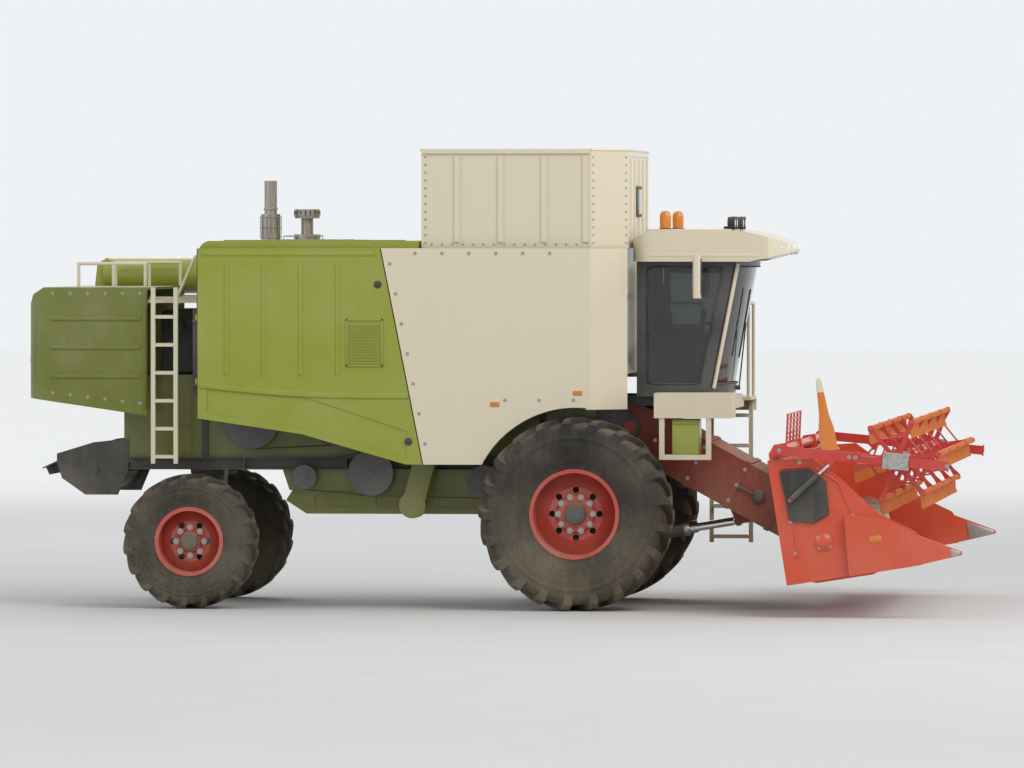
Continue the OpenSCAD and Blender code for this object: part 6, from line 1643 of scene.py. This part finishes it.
def stage_backdrop(scene):
    """Plain light all round, and a paler backdrop where the camera, gloss or glass sees it."""
    world = bpy.data.worlds.new("backdrop")
    scene.world = world
    world.use_nodes = True
    tree = world.node_tree
    tree.nodes.clear()
    light, seen = (add_node(tree, "ShaderNodeBackground", {"Color": colour, "Strength": strength}).outputs[0]
                   for colour, strength in (((0.96, 0.98, 1.0), 0.56), ((0.86, 0.88, 0.90), 1.0)))
    mix = add_node(tree, "ShaderNodeMixShader", {0: seen_rays(tree), 1: light, 2: seen})
    add_node(tree, "ShaderNodeOutputWorld", {"Surface": mix.outputs[0]})


def make_stage():
    scene = bpy.context.scene
    settings = scene.harvester_stage
    scene.view_settings.view_transform = "Standard"
    low, high = CAD_BOX
    middle = (Vector(low) + Vector(high)) / 2
    stage_floor()
    stage_backdrop(scene)
    # Each light: where it stands from the machine's middle, its size, its power and its tint
    for name, offset, size, power, tint in (
            ("key_light", (12, -13, 15), 14, 2150, (1.0, 0.98, 0.945)),
            ("fill_light", (-16, -10, 9), 12, 750, (0.95, 0.975, 1.0)),
            ("front_light", (20, 2, 9), 10, 850, (1.0, 1.0, 1.0)),
            ("back_light", (-6, 18, 13), 14, 1000, (1.0, 0.99, 0.97))):
        lamp = bpy.data.lights.new(name, "AREA")
        lamp.shape = "DISK"
        lamp.size = size
        lamp.energy = power
        lamp.color = tint
        stand_and_aim(add_to_scene(name, lamp), middle + Vector(offset), Vector(offset))
    # Azimuth 0 looks along +Y with +X to the right
    azimuth, elevation = settings.azimuth, settings.elevation
    away = Vector((math.sin(azimuth) * math.cos(elevation), -math.cos(azimuth) * math.cos(elevation),
                   math.sin(elevation)))
    camera = bpy.data.cameras.new("camera")
    camera.sensor_width = 36
    camera.lens = camera.sensor_width * settings.distance / settings.frame_width
    camera.clip_end = settings.distance * 3
    scene.camera = add_to_scene("camera", camera)
    target = Vector((middle.x, middle.y, settings.view_height))
    stand_and_aim(scene.camera, target + away * settings.distance, away)


# Operators, panel and registration

class HarvesterStep:
    """Shared by the operators that make the pieces"""

    bl_options = {"REGISTER", "UNDO"}


class HARVESTER_OT_finishes(HarvesterStep, bpy.types.Operator):
    """Make every material and give each carried-over node its own"""

    bl_idname = "harvester.finishes"
    bl_label = "Finishes"

    def execute(self, context):
        make_finishes()
        return {"FINISHED"}


class HARVESTER_OT_tyres(HarvesterStep, bpy.types.Operator):
    """Model the four drive and steering tyres with their lugs"""

    bl_idname = "harvester.tyres"
    bl_label = "Tyres"

    def execute(self, context):
        make_tyres()
        return {"FINISHED"}


class HARVESTER_OT_wheels(HarvesterStep, bpy.types.Operator):
    """Add the wheel nuts and hub caps"""

    bl_idname = "harvester.wheels"
    bl_label = "Wheels"

    def execute(self, context):
        make_wheels()
        return {"FINISHED"}


class HARVESTER_OT_cab(HarvesterStep, bpy.types.Operator):
    """Dress the cab: roof mouldings, lamps, window seals, wiper, mirrors, seat and controls"""

    bl_idname = "harvester.cab"
    bl_label = "Cab"

    def execute(self, context):
        make_cab()
        return {"FINISHED"}


class HARVESTER_OT_panels(HarvesterStep, bpy.types.Operator):
    """Dress the side panels: moulded ribs, vents, latches, edge seals, screws and reflectors"""

    bl_idname = "harvester.panels"
    bl_label = "Side panels"

    def execute(self, context):
        make_panels()
        return {"FINISHED"}


class HARVESTER_OT_tank(HarvesterStep, bpy.types.Operator):
    """Dress the grain tank: rolled rim, rivets, wall ribs, window and the two tank augers"""

    bl_idname = "harvester.tank"
    bl_label = "Grain tank"

    def execute(self, context):
        make_tank()
        return {"FINISHED"}


class HARVESTER_OT_engine_deck(HarvesterStep, bpy.types.Operator):
    """Dress the engine deck: hatches, slats, exhaust guard, pipe clamps and tread bars"""

    bl_idname = "harvester.engine_deck"
    bl_label = "Engine deck"

    def execute(self, context):
        make_engine_deck()
        return {"FINISHED"}


class HARVESTER_OT_rear(HarvesterStep, bpy.types.Operator):
    """Dress the rear: tail lamps, hood, chopper drive, fuel tank and ladder"""

    bl_idname = "harvester.rear"
    bl_label = "Rear"

    def execute(self, context):
        make_rear()
        return {"FINISHED"}


class HARVESTER_OT_reel(HarvesterStep, bpy.types.Operator):
    """Model the reel: tube, stars, tine bars and coiled tines"""

    bl_idname = "harvester.reel"
    bl_label = "Reel"

    def execute(self, context):
        make_reel()
        return {"FINISHED"}


class HARVESTER_OT_intake(HarvesterStep, bpy.types.Operator):
    """Model the intake auger with smooth helical flights and its fingers"""

    bl_idname = "harvester.intake"
    bl_label = "Intake auger"

    def execute(self, context):
        make_intake()
        return {"FINISHED"}


class HARVESTER_OT_knife(HarvesterStep, bpy.types.Operator):
    """Model the cutter bar: forged double guards, serrated sections, clips and back"""

    bl_idname = "harvester.knife"
    bl_label = "Knife"

    def execute(self, context):
        make_knife()
        return {"FINISHED"}


class HARVESTER_OT_header(HarvesterStep, bpy.types.Operator):
    """Dress the header: wall ribs, end plates, divider shoes, knife drive, hoses and reel arms"""

    bl_idname = "harvester.header"
    bl_label = "Header"

    def execute(self, context):
        make_header()
        return {"FINISHED"}


class HARVESTER_OT_feeder(HarvesterStep, bpy.types.Operator):
    """Dress the feeder house: hatch, bolts, tensioners, hoses and lift cylinder fittings"""

    bl_idname = "harvester.feeder"
    bl_label = "Feeder house"

    def execute(self, context):
        make_feeder()
        return {"FINISHED"}


class HARVESTER_OT_undercarriage(HarvesterStep, bpy.types.Operator):
    """Dress the axles, the body's sides, the ladder, the platform and the tool box"""

    bl_idname = "harvester.undercarriage"
    bl_label = "Undercarriage"

    def execute(self, context):
        make_undercarriage()
        return {"FINISHED"}


class HARVESTER_OT_stage(HarvesterStep, bpy.types.Operator):
    """Set the pale floor, the soft lights, the backdrop and the camera"""

    bl_idname = "harvester.stage"
    bl_label = "Stage"

    def execute(self, context):
        make_stage()
        return {"FINISHED"}


PIECES = (
    HARVESTER_OT_finishes, HARVESTER_OT_tyres, HARVESTER_OT_wheels, HARVESTER_OT_cab, HARVESTER_OT_panels,
    HARVESTER_OT_tank, HARVESTER_OT_engine_deck, HARVESTER_OT_rear, HARVESTER_OT_undercarriage,
    HARVESTER_OT_feeder, HARVESTER_OT_header, HARVESTER_OT_knife, HARVESTER_OT_intake, HARVESTER_OT_reel,
    HARVESTER_OT_stage)


class HARVESTER_PT_panel(bpy.types.Panel):
    """Lists the harvester's settings and its steps"""

    bl_label = "Combine harvester"
    bl_idname = "HARVESTER_PT_panel"
    bl_space_type = "VIEW_3D"
    bl_region_type = "UI"
    bl_category = "Harvester"

    def draw(self, context):
        layout = self.layout
        for label, settings in (("Colours", context.scene.harvester_colours),
                                ("Sizes", context.scene.harvester_sizes),
                                ("Stage", context.scene.harvester_stage)):
            box = layout.box()
            box.label(text=label)
            for key in settings.bl_rna.properties.keys():
                if key not in ("rna_type", "name"):
                    box.prop(settings, key)
        column = layout.column(align=True)
        for step in PIECES:
            column.operator(step.bl_idname)


CLASSES = (HarvesterColours, HarvesterSizes, HarvesterStage, *PIECES, HARVESTER_PT_panel)


def register():
    for cls in CLASSES:
        bpy.utils.register_class(cls)
    bpy.types.Scene.harvester_colours = PointerProperty(type=HarvesterColours)
    bpy.types.Scene.harvester_sizes = PointerProperty(type=HarvesterSizes)
    bpy.types.Scene.harvester_stage = PointerProperty(type=HarvesterStage)


def unregister():
    del bpy.types.Scene.harvester_stage
    del bpy.types.Scene.harvester_sizes
    del bpy.types.Scene.harvester_colours
    for cls in reversed(CLASSES):
        bpy.utils.unregister_class(cls)


def main():
    register()
    for step in PIECES:
        group, name = step.bl_idname.split(".")
        getattr(getattr(bpy.ops, group), name)()


if __name__ == "__main__":
    main()
